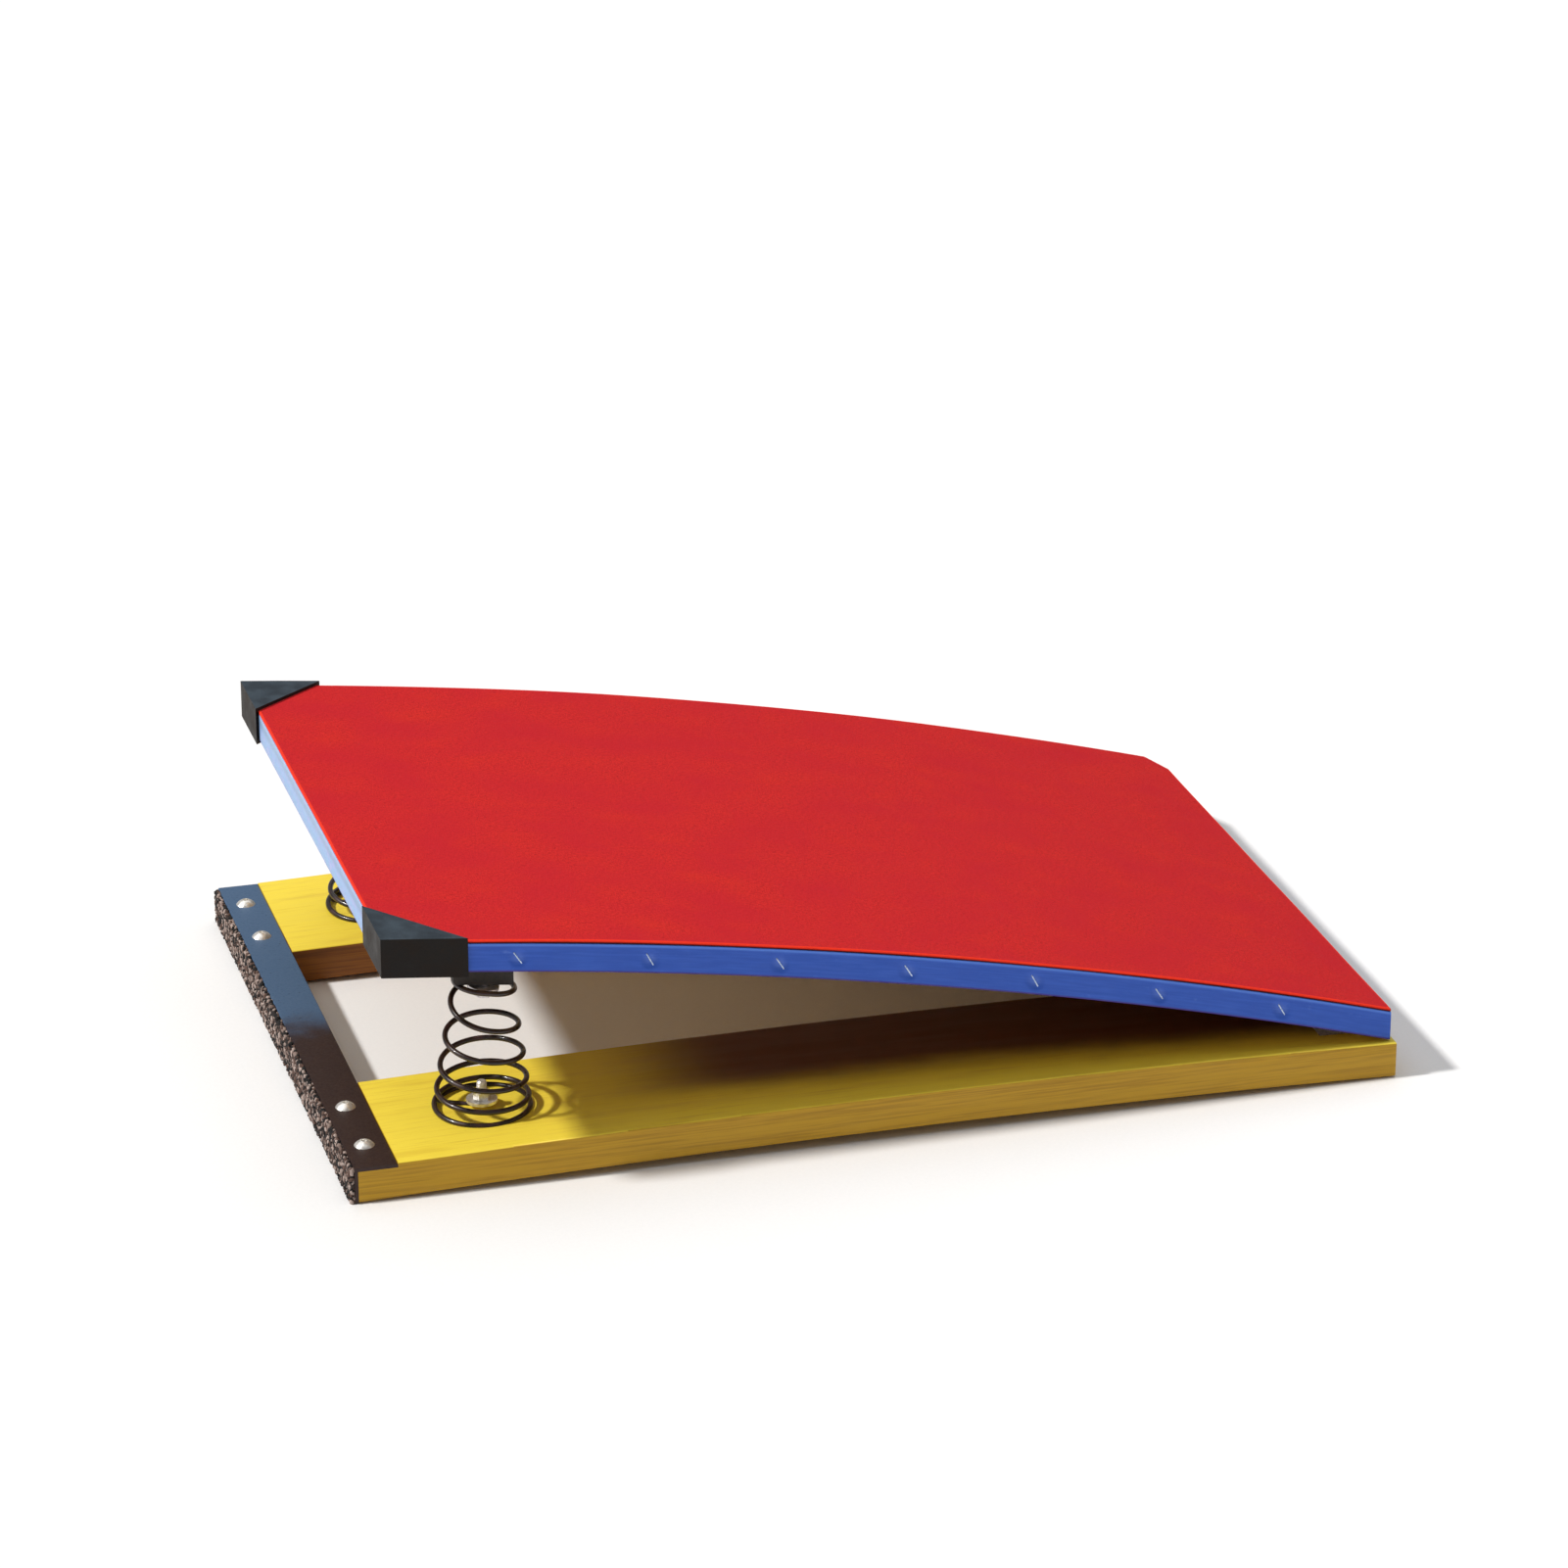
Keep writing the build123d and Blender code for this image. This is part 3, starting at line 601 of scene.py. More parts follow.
@dataclass(frozen=True)
class Finish:
    """One finish: its fixed shader values, and the pattern that a subclass paints."""

    name: str
    roughness: float = 0.5
    metallic: float = 0.0
    ior: float = 1.5
    sheen: float = 0.0
    coat: float = 0.0

    def material(self) -> bpy.types.Material:
        """Make this finish's material, or find it if it is made.

        Returns:
            The material.
        """
        known = bpy.data.materials.get(self.name)
        if known:
            return known
        material = bpy.data.materials.new(self.name)
        material.use_nodes = True
        tree = material.node_tree
        tree.nodes.clear()
        shader = add(
            tree,
            "ShaderNodeBsdfPrincipled",
            {
                "Roughness": self.roughness,
                "Metallic": self.metallic,
                "IOR": self.ior,
                "Sheen Weight": self.sheen,
                "Coat Weight": self.coat,
            },
        )
        add(tree, "ShaderNodeOutputMaterial", {"Surface": shader.outputs[0]})
        self.paint(tree, shader)
        return material

    def paint(self, tree: bpy.types.NodeTree, shader: bpy.types.Node) -> None:
        """Paint the pattern; each finish has its own.

        Args:
            tree: The material's tree.
            shader: Its shader.
        """
        raise NotImplementedError

    def place(self, tree: bpy.types.NodeTree, scale: tuple[float, float, float]) -> bpy.types.NodeSocket:
        """Return the object's coordinates in metres, stretched by a scale."""
        spot = add(tree, "ShaderNodeTexCoord").outputs["Object"]
        return add(tree, "ShaderNodeMapping", {"Vector": spot, "Scale": scale}).outputs[0]

    def flat(self, tree: bpy.types.NodeTree, scale: tuple[float, float, float]) -> bpy.types.NodeSocket:
        """Return the place on the flat cut in metres, stretched by a scale."""
        spot = add(tree, "ShaderNodeAttribute", attribute_name=FLAT).outputs["Vector"]
        return add(tree, "ShaderNodeMapping", {"Vector": spot, "Scale": scale}).outputs[0]

    def clouds(
        self, tree: bpy.types.NodeTree, place: bpy.types.NodeSocket, size: float, detail: float = 4.0
    ) -> bpy.types.NodeSocket:
        """Return a cloudy pattern from 0 to 1 whose patches are about one size across.

        Args:
            tree: The material's tree.
            place: The coordinates it reads, in metres.
            size: How large a patch is, in metres.
            detail: How many finer layers it has.

        Returns:
            The pattern.
        """
        pattern = add(
            tree,
            "ShaderNodeTexNoise",
            {"Vector": place, "Scale": 1.0 / size, "Detail": detail, "Roughness": 0.55},
        )
        return pattern.outputs[0]

    def blend(
        self,
        tree: bpy.types.NodeTree,
        share: bpy.types.NodeSocket,
        low: str | bpy.types.NodeSocket,
        high: str | bpy.types.NodeSocket,
        between: tuple[float, float] = (0.35, 0.65),
    ) -> bpy.types.NodeSocket:
        """Blend two colours by a share.

        Args:
            tree: The material's tree.
            share: The pattern that decides.
            low: The colour where the share is low, as hex or a socket.
            high: The colour where it is high.
            between: The shares at which the blend starts and ends.

        Returns:
            The blended colour.
        """
        amount = self.share(tree, share, *between)
        ends = [linear(c) if isinstance(c, str) else c for c in (low, high)]
        mixed = add(tree, "ShaderNodeMix", {0: amount, 6: ends[0], 7: ends[1]}, data_type="RGBA")
        return mixed.outputs[2]

    def share(
        self, tree: bpy.types.NodeTree, value: bpy.types.NodeSocket, none: float, full: float
    ) -> bpy.types.NodeSocket:
        """Turn a value into a share with a smooth step.

        Args:
            tree: The material's tree.
            value: The value.
            none: Where the share is 0.
            full: Where it is 1.

        Returns:
            The share.
        """
        step = add(
            tree,
            "ShaderNodeMapRange",
            {"Value": value, "From Min": none, "From Max": full},
            interpolation_type="SMOOTHSTEP",
        )
        return step.outputs[0]

    def emboss(
        self,
        tree: bpy.types.NodeTree,
        shader: bpy.types.Node,
        layers: Iterable[tuple[bpy.types.NodeSocket, float, float]],
    ) -> None:
        """Stack bumps on a shader.

        Args:
            tree: The material's tree.
            shader: The shader that gets them.
            layers: For each bump its pattern, its strength and its height in metres.
        """
        below = None
        for pattern, strength, height in layers:
            inputs = {"Height": pattern, "Strength": strength, "Distance": height}
            if below:
                inputs["Normal"] = below
            below = add(tree, "ShaderNodeBump", inputs).outputs[0]
        tree.links.new(below, shader.inputs["Normal"])

    def vary_roughness(
        self, tree: bpy.types.NodeTree, shader: bpy.types.Node, share: bpy.types.NodeSocket, spread: float
    ) -> None:
        """Let the roughness wander about its value.

        Args:
            tree: The material's tree.
            shader: The shader.
            share: The pattern that it follows.
            spread: How far it goes each way.
        """
        wander = add(
            tree,
            "ShaderNodeMapRange",
            {
                "Value": share,
                "From Min": 0.3,
                "From Max": 0.7,
                "To Min": self.roughness - spread,
                "To Max": self.roughness + spread,
            },
        )
        tree.links.new(wander.outputs[0], shader.inputs["Roughness"])


@dataclass(frozen=True)
class PaintedTimber(Finish):
    """Brushed enamel over planed softwood: a satin skin, with painted shade on its side faces and a painted
    shadow on the rail tops under the board.
    """

    colour: str = "#FAE048"
    deep: str = "#EACA3C"
    # painted shade: the rails' outer side faces (edge) and inner side faces (inner) are painted darker than
    # the top, with grain streaks through them
    edge: str = "#CE9F1E"
    edge_deep: str = "#B58716"
    inner: str = "#9C5C08"
    inner_deep: str = "#7E4604"
    # painted shadow: the dark brown laid on the rail tops where the board hangs over them
    dust: str = "#5E2E10"
    grain_width: float = 1.6 * MM
    grain_length: float = 70 * MM
    # where the painted shadow under the board begins and ends, across the rail and along it; it reaches
    # further out towards the hinge, where the board comes down
    outer_y: float = 286 * MM
    inner_y: float = 210 * MM
    open_x: float = -290 * MM
    covered_x: float = -70 * MM
    closing_x: tuple[float, float] = (40 * MM, 340 * MM)
    closing_reach: float = 16 * MM
    ragged: float = 18 * MM

    def paint(self, tree: bpy.types.NodeTree, shader: bpy.types.Node) -> None:
        """Paint long grain, brush marks, nicks, painted shade on the side faces and a painted shadow on the
        rail tops under the board.

        Args:
            tree: The material's tree.
            shader: Its shader.
        """
        fine = self.clouds(
            tree, self.place(tree, (self.grain_width / self.grain_length, 1, 1)), self.grain_width, 6.0
        )
        broad = self.clouds(tree, self.place(tree, (0.12, 1, 1)), 14 * MM, 3.0)
        spot = self.place(tree, (1, 1, 1))
        nicks = self.clouds(tree, spot, 4 * MM, 2.0)
        cloud = self.clouds(tree, self.place(tree, (0.4, 1, 1)), 30 * MM, 4.0)
        axes = add(tree, "ShaderNodeSeparateXYZ", {0: spot}).outputs
        side = add(tree, "ShaderNodeMath", {0: axes[1]}, operation="ABSOLUTE").outputs[0]
        facing = add(tree, "ShaderNodeNewGeometry").outputs["Normal"]
        upward = add(tree, "ShaderNodeSeparateXYZ", {0: facing}).outputs[2]
        streaked = self.blend(tree, fine, self.deep, self.colour, (0.25, 0.5))
        brushed = self.blend(tree, broad, "#EBCB3E", streaked, (0.15, 0.5))
        # painted shade on the side faces, darkest on the inner faces that face the other rail
        thin = self.blend(tree, fine, self.edge_deep, self.edge, (0.3, 0.6))
        inward = self.blend(tree, fine, self.inner_deep, self.inner, (0.3, 0.6))
        sides = self.blend(tree, side, inward, thin, (160 * MM, 220 * MM))
        # painted shadow under the board: its share across the rail, along the rail and both together
        closing = self.share(tree, axes[0], *self.closing_x)
        nearer = add(
            tree, "ShaderNodeMath", {0: closing, 1: -self.closing_reach, 2: side}, operation="MULTIPLY_ADD"
        ).outputs[0]
        wander = add(tree, "ShaderNodeMath", {0: cloud, 1: self.ragged, 2: nearer}, operation="MULTIPLY_ADD")
        shift = self.ragged / 2
        shade_across = self.share(tree, wander.outputs[0], self.outer_y + shift, self.inner_y + shift)
        under = self.share(tree, axes[0], self.open_x, self.covered_x)
        both = add(tree, "ShaderNodeMath", {0: shade_across, 1: under}, operation="MULTIPLY").outputs[0]
        shaded_under_board = self.blend(tree, both, brushed, self.dust, (0.0, 1.0))
        # upward faces take the top colour, the others the painted side shade
        body = self.blend(tree, upward, sides, shaded_under_board, (0.35, 0.65))
        chipped = self.blend(tree, nicks, body, "#8E6414", (0.8, 0.86))
        tree.links.new(chipped, shader.inputs["Base Color"])
        self.vary_roughness(tree, shader, broad, 0.08)
        self.emboss(tree, shader, [(broad, 0.25, 0.4 * MM), (fine, 0.3, 0.2 * MM)])


@dataclass(frozen=True)
class BluedSteel(Finish):
    """Hot-rolled steel angle: a dark satin metal, with a painted reflection that is blue on its far half and
    dark brown on its near half.
    """

    # painted reflection: blue where the far half mirrors the sky, dark brown where the near half mirrors
    # nothing bright; turn_y is where it changes
    blue: str = "#4F6C8E"
    brown: str = "#35221F"
    turn_y: float = -0.012
    fade: float = 0.035
    ragged: float = 0.06

    def paint(self, tree: bpy.types.NodeTree, shader: bpy.types.Node) -> None:
        """Fade from blue to brown along the bar as a painted reflection, with scale and fine drawing marks.

        Args:
            tree: The material's tree.
            shader: Its shader.
        """
        spot = self.place(tree, (1, 1, 1))
        cloud = self.clouds(tree, spot, 22 * MM, 5.0)
        scale = self.clouds(tree, spot, 2.2 * MM, 4.0)
        drawn = self.clouds(tree, self.place(tree, (1, 0.03, 1)), 1.2 * MM, 3.0)
        across = add(tree, "ShaderNodeSeparateXYZ", {0: spot}).outputs[1]
        wander = add(tree, "ShaderNodeMath", {0: cloud, 1: self.ragged, 2: across}, operation="MULTIPLY_ADD")
        share = wander.outputs[0]
        middle = self.turn_y + self.ragged / 2
        body = self.blend(tree, share, self.brown, self.blue, (middle - self.fade, middle + self.fade))
        flecked = self.blend(tree, scale, body, "#26201F", (0.62, 0.8))
        # painted reflection: lighter blue patches of sky in the cloud
        sheen = self.blend(tree, cloud, flecked, "#5E7A94", (0.66, 1.25))
        tree.links.new(sheen, shader.inputs["Base Color"])
        self.vary_roughness(tree, shader, scale, 0.1)
        self.emboss(tree, shader, [(scale, 0.25, 0.15 * MM), (drawn, 0.2, 0.08 * MM)])


@dataclass(frozen=True)
class RubberGranulate(Finish):
    """Pressed crumbs of recycled rubber in a dull binder, each with its own brown, pink-grey or black."""

    def paint(self, tree: bpy.types.NodeTree, shader: bpy.types.Node) -> None:
        """Colour each crumb by its own shade and dust it.

        Args:
            tree: The material's tree.
            shader: Its shader.
        """
        shade = add(tree, "ShaderNodeAttribute", attribute_name=SHADE).outputs["Fac"]
        dust = self.clouds(tree, self.place(tree, (1, 1, 1)), 1.2 * MM, 4.0)
        dark = self.blend(tree, shade, "#0E0A09", "#5A4238", (0.36, 0.52))
        light = self.blend(tree, shade, dark, "#B3A097", (0.58, 0.95))
        dusty = self.blend(tree, dust, light, "#7E6C63", (0.6, 1.05))
        tree.links.new(dusty, shader.inputs["Base Color"])
        self.emboss(tree, shader, [(dust, 0.6, 0.3 * MM)])


@dataclass(frozen=True)
class NeedleFelt(Finish):
    """Needle-punched polypropylene carpet: a dense matt felt of short fibres with a soft sheen."""

    colour: str = "#DA2A28"
    worn: str = "#C92525"
    fibre: float = 1.0 * MM  # real fibres are a tenth of this; drawn as tufts of them, coarse enough to show
    clump: float = 4.5 * MM
    thickness: float = 3 * MM
    # how wide the painted highlight along the carpet's rim is
    rim: float = 2.6 * MM

    def paint(self, tree: bpy.types.NodeTree, shader: bpy.types.Node) -> None:
        """Paint crossed fibres, soft clumps, wide mottling, a painted highlight along the rim and a painted
        shadow line at the lower edge.

        Args:
            tree: The material's tree.
            shader: Its shader.
        """
        spot = self.flat(tree, (1, 1, 1))
        one_way = self.clouds(tree, self.flat(tree, (0.25, 1, 1)), self.fibre, 3.0)
        other_way = self.clouds(tree, self.flat(tree, (1, 0.25, 1)), self.fibre, 3.0)
        fibres = add(tree, "ShaderNodeMath", {0: one_way, 1: other_way}, operation="MAXIMUM").outputs[0]
        clumps = self.clouds(tree, spot, self.clump, 3.0)
        wide = self.clouds(tree, spot, 70 * MM, 3.0)
        tufted = self.blend(tree, fibres, "#A81A1C", self.colour, (0.4, 0.62))
        soft = self.blend(tree, clumps, self.worn, tufted, (0.2, 0.55))
        trodden = self.clouds(tree, spot, 34 * MM, 2.0)
        warm = self.blend(tree, trodden, soft, "#D8301F", (0.35, 1.3))
        mottled = self.blend(tree, wide, "#C41E2A", warm, (0.1, 0.8))
        edge = add(tree, "ShaderNodeAttribute", attribute_name=RIM).outputs["Fac"]
        # painted highlight: bright orange-red along the carpet's rim
        painted_rim_highlight = self.blend(tree, edge, "#FF3A24", mottled, (0.35 * self.rim, self.rim))
        depth = add(tree, "ShaderNodeSeparateXYZ", {0: spot}).outputs[2]
        # painted shadow line: dark maroon at the carpet's lower edge, above the tape
        cut = self.blend(tree, depth, painted_rim_highlight, "#4A0A12", (0.35 * self.thickness, 0.7 * self.thickness))
        tree.links.new(cut, shader.inputs["Base Color"])
        self.emboss(tree, shader, [(wide, 0.15, 2 * MM), (clumps, 0.5, 0.8 * MM), (fibres, 0.8, 0.5 * MM)])


@dataclass(frozen=True)
class CoatedWebbing(Finish):
    """Vinyl-coated edging tape: a satin blue skin that shows the ribs of the tape below it."""

    colour: str = "#2A59C2"
    scuffed: str = "#3564CE"
    specks: str = "#7C9CEC"
    # painted shade: the darker purple along the bottom of the tape
    hem: str = "#43318F"
    # painted highlight: the bright line along the top of the tape, below the carpet
    top_highlight: str = "#5585EA"
    speckled: float = 0.62
    top: float = 3 * MM
    bottom: float = 27.5 * MM
    rib: float = 2.4 * MM
    pitch: float = 109 * MM
    middle: float = 20 * MM
    staple_depth: float = 15.5 * MM
    pull: float = 10 * MM

    def paint(self, tree: bpy.types.NodeTree, shader: bpy.types.Node) -> None:
        """Paint ribs along the tape, a painted highlight along its top, painted shade along its bottom and
        scuffs.

        Args:
            tree: The material's tree.
            shader: Its shader.
        """
        spot = self.flat(tree, (1, 1, 1))
        depth = add(tree, "ShaderNodeSeparateXYZ", {0: spot}).outputs[2]
        ribs = add(
            tree,
            "ShaderNodeTexWave",
            {"Vector": spot, "Scale": 1 / self.rib / 20 * math.tau, "Distortion": 0.4, "Detail": 1.0},
            wave_type="BANDS",
            bands_direction="Z",
        ).outputs[1]
        along = self.clouds(tree, self.flat(tree, (0.06, 1, 1)), 2.2 * MM, 4.0)
        scuffs = self.clouds(tree, self.flat(tree, (0.5, 0.5, 1)), 7 * MM, 5.0)
        body = self.blend(tree, along, self.colour, self.scuffed, (0.35, 0.75))
        rubbed = self.blend(tree, scuffs, body, self.specks, (self.speckled, self.speckled + 0.35))
        # painted highlight along the top of the tape
        highlighted = self.blend(tree, depth, self.top_highlight, rubbed, (self.top + 1.2 * MM, self.top + 3.4 * MM))
        # painted shade along the bottom of the tape
        hem = self.blend(tree, depth, highlighted, self.hem, (self.bottom - 2.2 * MM, self.bottom - 0.6 * MM))
        pucker = self.pucker(tree, depth)
        # painted highlight: lighter round each staple, where the tape is pulled in
        pulled = self.blend(tree, pucker, hem, "#8CA8EE", (0.2, 3.2))
        tree.links.new(pulled, shader.inputs["Base Color"])
        self.vary_roughness(tree, shader, scuffs, 0.08)
        self.emboss(
            tree, shader, [(ribs, 0.12, 0.25 * MM), (along, 0.3, 0.2 * MM), (pucker, 1.0, -2.0 * MM)]
        )

    def pucker(self, tree: bpy.types.NodeTree, depth: bpy.types.NodeSocket) -> bpy.types.NodeSocket:
        """Return how much the tape is pulled in round its nearest staple.

        Args:
            tree: The material's tree.
            depth: How far each point is below the board's top.

        Returns:
            1 at a staple and 0 a little way from it.
        """
        along = add(tree, "ShaderNodeSeparateXYZ", {0: self.place(tree, (1, 1, 1))}).outputs[0]
        steps = add(
            tree, "ShaderNodeMath", {0: along, 1: 1 / self.pitch, 2: 0.5 - self.middle / self.pitch},
            operation="MULTIPLY_ADD",
        )
        part = add(tree, "ShaderNodeMath", {0: steps.outputs[0]}, operation="FRACT")
        aside = add(
            tree, "ShaderNodeMath", {0: part.outputs[0], 1: self.pitch, 2: -self.pitch / 2},
            operation="MULTIPLY_ADD",
        )
        lower = add(tree, "ShaderNodeMath", {0: depth, 1: self.staple_depth}, operation="SUBTRACT")
        offset = add(tree, "ShaderNodeCombineXYZ", {0: aside.outputs[0], 1: lower.outputs[0]})
        away = add(tree, "ShaderNodeVectorMath", {0: offset.outputs[0]}, operation="LENGTH")
        return self.share(tree, away.outputs["Value"], self.pull, 1.5 * MM)


@dataclass(frozen=True)
class ClosedCellFoam(Finish):
    """Grey closed-cell polyethylene foam: a dull sponge of fine bubbles."""

    def paint(self, tree: bpy.types.NodeTree, shader: bpy.types.Node) -> None:
        """Paint cells and the slight marks of slicing.

        Args:
            tree: The material's tree.
            shader: Its shader.
        """
        spot = self.flat(tree, (1, 1, 1))
        cells = add(tree, "ShaderNodeTexVoronoi", {"Vector": spot, "Scale": 1 / (1.1 * MM)}).outputs[0]
        cloud = self.clouds(tree, spot, 9 * MM, 3.0)
        tone = self.blend(tree, cloud, "#6E7174", "#8A8D90")
        tree.links.new(self.blend(tree, cells, tone, "#A0A3A6", (0.3, 0.9)), shader.inputs["Base Color"])
        self.emboss(tree, shader, [(cells, 0.5, 0.4 * MM)])


@dataclass(frozen=True)
class MouldedPlastic(Finish):
    """Injection-moulded black polypropylene: a fine leather grain and rubbed patches, with a painted
    reflection, grey-blue, on its upward faces.
    """

    def paint(self, tree: bpy.types.NodeTree, shader: bpy.types.Node) -> None:
        """Paint the mould's grain, rubbed patches and the painted reflection on the upward faces.

        Args:
            tree: The material's tree.
            shader: Its shader.
        """
        spot = self.place(tree, (1, 1, 1))
        grain = add(tree, "ShaderNodeTexVoronoi", {"Vector": spot, "Scale": 1 / (1.3 * MM)}).outputs[0]
        rubbed = self.clouds(tree, spot, 18 * MM, 5.0)
        fine = self.clouds(tree, spot, 1.5 * MM, 4.0)
        facing = add(tree, "ShaderNodeNewGeometry").outputs["Normal"]
        upward = add(tree, "ShaderNodeSeparateXYZ", {0: facing}).outputs[2]
        deep = self.blend(tree, rubbed, "#110A06", "#22170F", (0.35, 0.8))
        # painted reflection: grey-blue of the sky on the upward faces
        sky_reflection_top = self.blend(tree, rubbed, "#28313A", "#3F4B55", (0.3, 0.75))
        tone = self.blend(tree, upward, deep, sky_reflection_top, (0.5, 0.95))
        tree.links.new(self.blend(tree, fine, tone, "#14110F", (0.6, 0.9)), shader.inputs["Base Color"])
        self.vary_roughness(tree, shader, rubbed, 0.1)
        self.emboss(tree, shader, [(grain, 0.25, 0.2 * MM), (fine, 0.2, 0.15 * MM)])


@dataclass(frozen=True)
class PlatedSteel(Finish):
    """Electroplated steel: bright metal with a soft spangle and faint handling marks."""

    colour: str = "#C9CCD0"
    tint: str = "#A9ADB4"
    spangle: float = 2.5 * MM

    def paint(self, tree: bpy.types.NodeTree, shader: bpy.types.Node) -> None:
        """Paint the spangle and fine scratches.

        Args:
            tree: The material's tree.
            shader: Its shader.
        """
        spot = self.place(tree, (1, 1, 1))
        cloud = self.clouds(tree, spot, self.spangle, 4.0)
        scratch = self.clouds(tree, self.place(tree, (1, 0.08, 0.5)), 0.6 * MM, 3.0)
        tree.links.new(self.blend(tree, cloud, self.tint, self.colour), shader.inputs["Base Color"])
        self.vary_roughness(tree, shader, cloud, 0.07)
        self.emboss(tree, shader, [(scratch, 0.12, 0.05 * MM)])


@dataclass(frozen=True)
class LacqueredWire(Finish):
    """Cold-wound spring wire under black-brown lacquer: thin gloss over the drawing lines of the wire."""

    def paint(self, tree: bpy.types.NodeTree, shader: bpy.types.Node) -> None:
        """Paint lacquer with brown thin patches.

        Args:
            tree: The material's tree.
            shader: Its shader.
        """
        spot = self.place(tree, (1, 1, 1))
        thin = self.clouds(tree, spot, 9 * MM, 4.0)
        fine = self.clouds(tree, spot, 1.0 * MM, 3.0)
        tone = self.blend(tree, thin, "#150A0B", "#351C1C", (0.35, 0.7))
        tree.links.new(self.blend(tree, fine, tone, "#54332E", (0.66, 0.9)), shader.inputs["Base Color"])
        self.vary_roughness(tree, shader, thin, 0.1)
        self.emboss(tree, shader, [(fine, 0.3, 0.1 * MM)])


@dataclass(frozen=True)
class BareWood(Finish):
    """Sanded or stained wood: long fibres with darker pores."""

    colour: str = "#D9B98A"
    deep: str = "#B98F5C"
    pore: str = "#8A6238"
    grain_width: float = 2.2 * MM
    grain_length: float = 90 * MM
    along_y: bool = False

    def paint(self, tree: bpy.types.NodeTree, shader: bpy.types.Node) -> None:
        """Paint wide figure, fibres and pores along the grain.

        Args:
            tree: The material's tree.
            shader: Its shader.
        """
        pull = self.grain_width / self.grain_length
        stretch = (1, pull, 1) if self.along_y else (pull, 1, 1)
        wide = self.clouds(tree, self.place(tree, tuple(0.3 if s < 1 else 1 for s in stretch)), 45 * MM, 3.0)
        fibres = self.clouds(tree, self.place(tree, stretch), self.grain_width, 5.0)
        pores = self.clouds(tree, self.place(tree, stretch), 0.8 * MM, 2.0)
        body = self.blend(tree, fibres, self.deep, self.colour, (0.3, 0.62))
        figure = self.blend(tree, wide, self.deep, body, (0.2, 0.55))
        tree.links.new(self.blend(tree, pores, figure, self.pore, (0.64, 0.8)), shader.inputs["Base Color"])
        self.emboss(tree, shader, [(fibres, 0.3, 0.2 * MM), (pores, 0.25, 0.1 * MM)])


@dataclass(frozen=True)
class MouldedRubber(Finish):
    """Moulded black nitrile rubber: dull, with a grey bloom, and dusty where it meets the floor."""

    worn_height: float = 1.5 * MM

    def paint(self, tree: bpy.types.NodeTree, shader: bpy.types.Node) -> None:
        """Paint the bloom, the dust of the floor and a fine grain.

        Args:
            tree: The material's tree.
            shader: Its shader.
        """
        spot = self.place(tree, (1, 1, 1))
        bloom = self.clouds(tree, spot, 6 * MM, 4.0)
        grain = self.clouds(tree, spot, 0.9 * MM, 3.0)
        tone = self.blend(tree, bloom, "#151515", "#2A2928")
        height = add(tree, "ShaderNodeSeparateXYZ", {0: spot}).outputs[2]
        dusty = self.blend(tree, height, "#4A4641", tone, (0.0, self.worn_height))
        tree.links.new(dusty, shader.inputs["Base Color"])
        self.vary_roughness(tree, shader, bloom, 0.08)
        self.emboss(tree, shader, [(bloom, 0.3, 0.2 * MM), (grain, 0.4, 0.1 * MM)])


@dataclass(frozen=True)
class StudioFloor(Finish):
    """Matt pale studio board with the faintest tooth."""

    def paint(self, tree: bpy.types.NodeTree, shader: bpy.types.Node) -> None:
        """Paint a near-white that hardly wanders.

        Args:
            tree: The material's tree.
            shader: Its shader.
        """
        tooth = self.clouds(tree, self.place(tree, (1, 1, 1)), 3 * MM, 2.0)
        tree.links.new(self.blend(tree, tooth, "#F6F6F6", "#F8F8F8"), shader.inputs["Base Color"])


FINISHES: dict[Slot, Finish] = {
    Slot.YELLOW_WOOD: PaintedTimber("enamelled_softwood", roughness=0.5, ior=1.42),
    Slot.BLUED_STEEL: BluedSteel("oil_blued_hot_rolled_steel", roughness=0.45, metallic=0.35),
    Slot.GRANULATE: RubberGranulate("pressed_rubber_granulate", roughness=0.85),
    Slot.RUBBER: MouldedRubber("moulded_nitrile_rubber", roughness=0.7, ior=1.52),
    Slot.NICKEL: PlatedSteel(
        "bright_nickel_plate", roughness=0.34, metallic=0.75, colour="#FFFDF8", tint="#E6E2DC"
    ),
    Slot.ZINC: PlatedSteel(
        "clear_zinc_plate", roughness=0.4, metallic=0.6, colour="#F2ECEC", tint="#D6D0D2"
    ),
    Slot.SPRING_STEEL: LacqueredWire("lacquered_spring_wire", roughness=0.34, coat=0.3),
    Slot.PLYWOOD: BareWood("sanded_birch_plywood", roughness=0.55),
    Slot.FOAM: ClosedCellFoam("closed_cell_polyethylene_foam", roughness=0.9),
    Slot.CARPET: NeedleFelt("needle_punched_polypropylene", roughness=0.95, ior=1.25),
    Slot.VINYL: CoatedWebbing("vinyl_coated_edging_tape", roughness=0.5, ior=1.4),
    Slot.STAPLE: PlatedSteel(
        "galvanised_staple_wire", roughness=0.3, metallic=0.85, colour="#DCE8F6", tint="#AEC2DC"
    ),
    Slot.PLASTIC: MouldedPlastic("moulded_black_polypropylene", roughness=0.62, ior=1.33),
    Slot.STAINED_WOOD: BareWood(
        "black_stained_beech", roughness=0.6, colour="#241A15", deep="#15100E", pore="#0B0807", along_y=True
    ),
}
# A paler copy of the edging tape for the high end: painted light, standing in for the strong light that falls
# on that end.
HIGH_END_TAPE = CoatedWebbing(
    "sun_bleached_edging_tape",
    roughness=0.45,
    colour="#8AA6CD",
    scuffed="#8DB6D6",
    specks="#B6ACD8",
    hem="#7484C4",
    top_highlight="#9DB4DC",
    speckled=0.45,
)


def finish(slot: Slot) -> bpy.types.Material:
    """Return the material of a slot's finish."""
    return FINISHES[slot].material()


# ---------------------------------------------------------------- the board


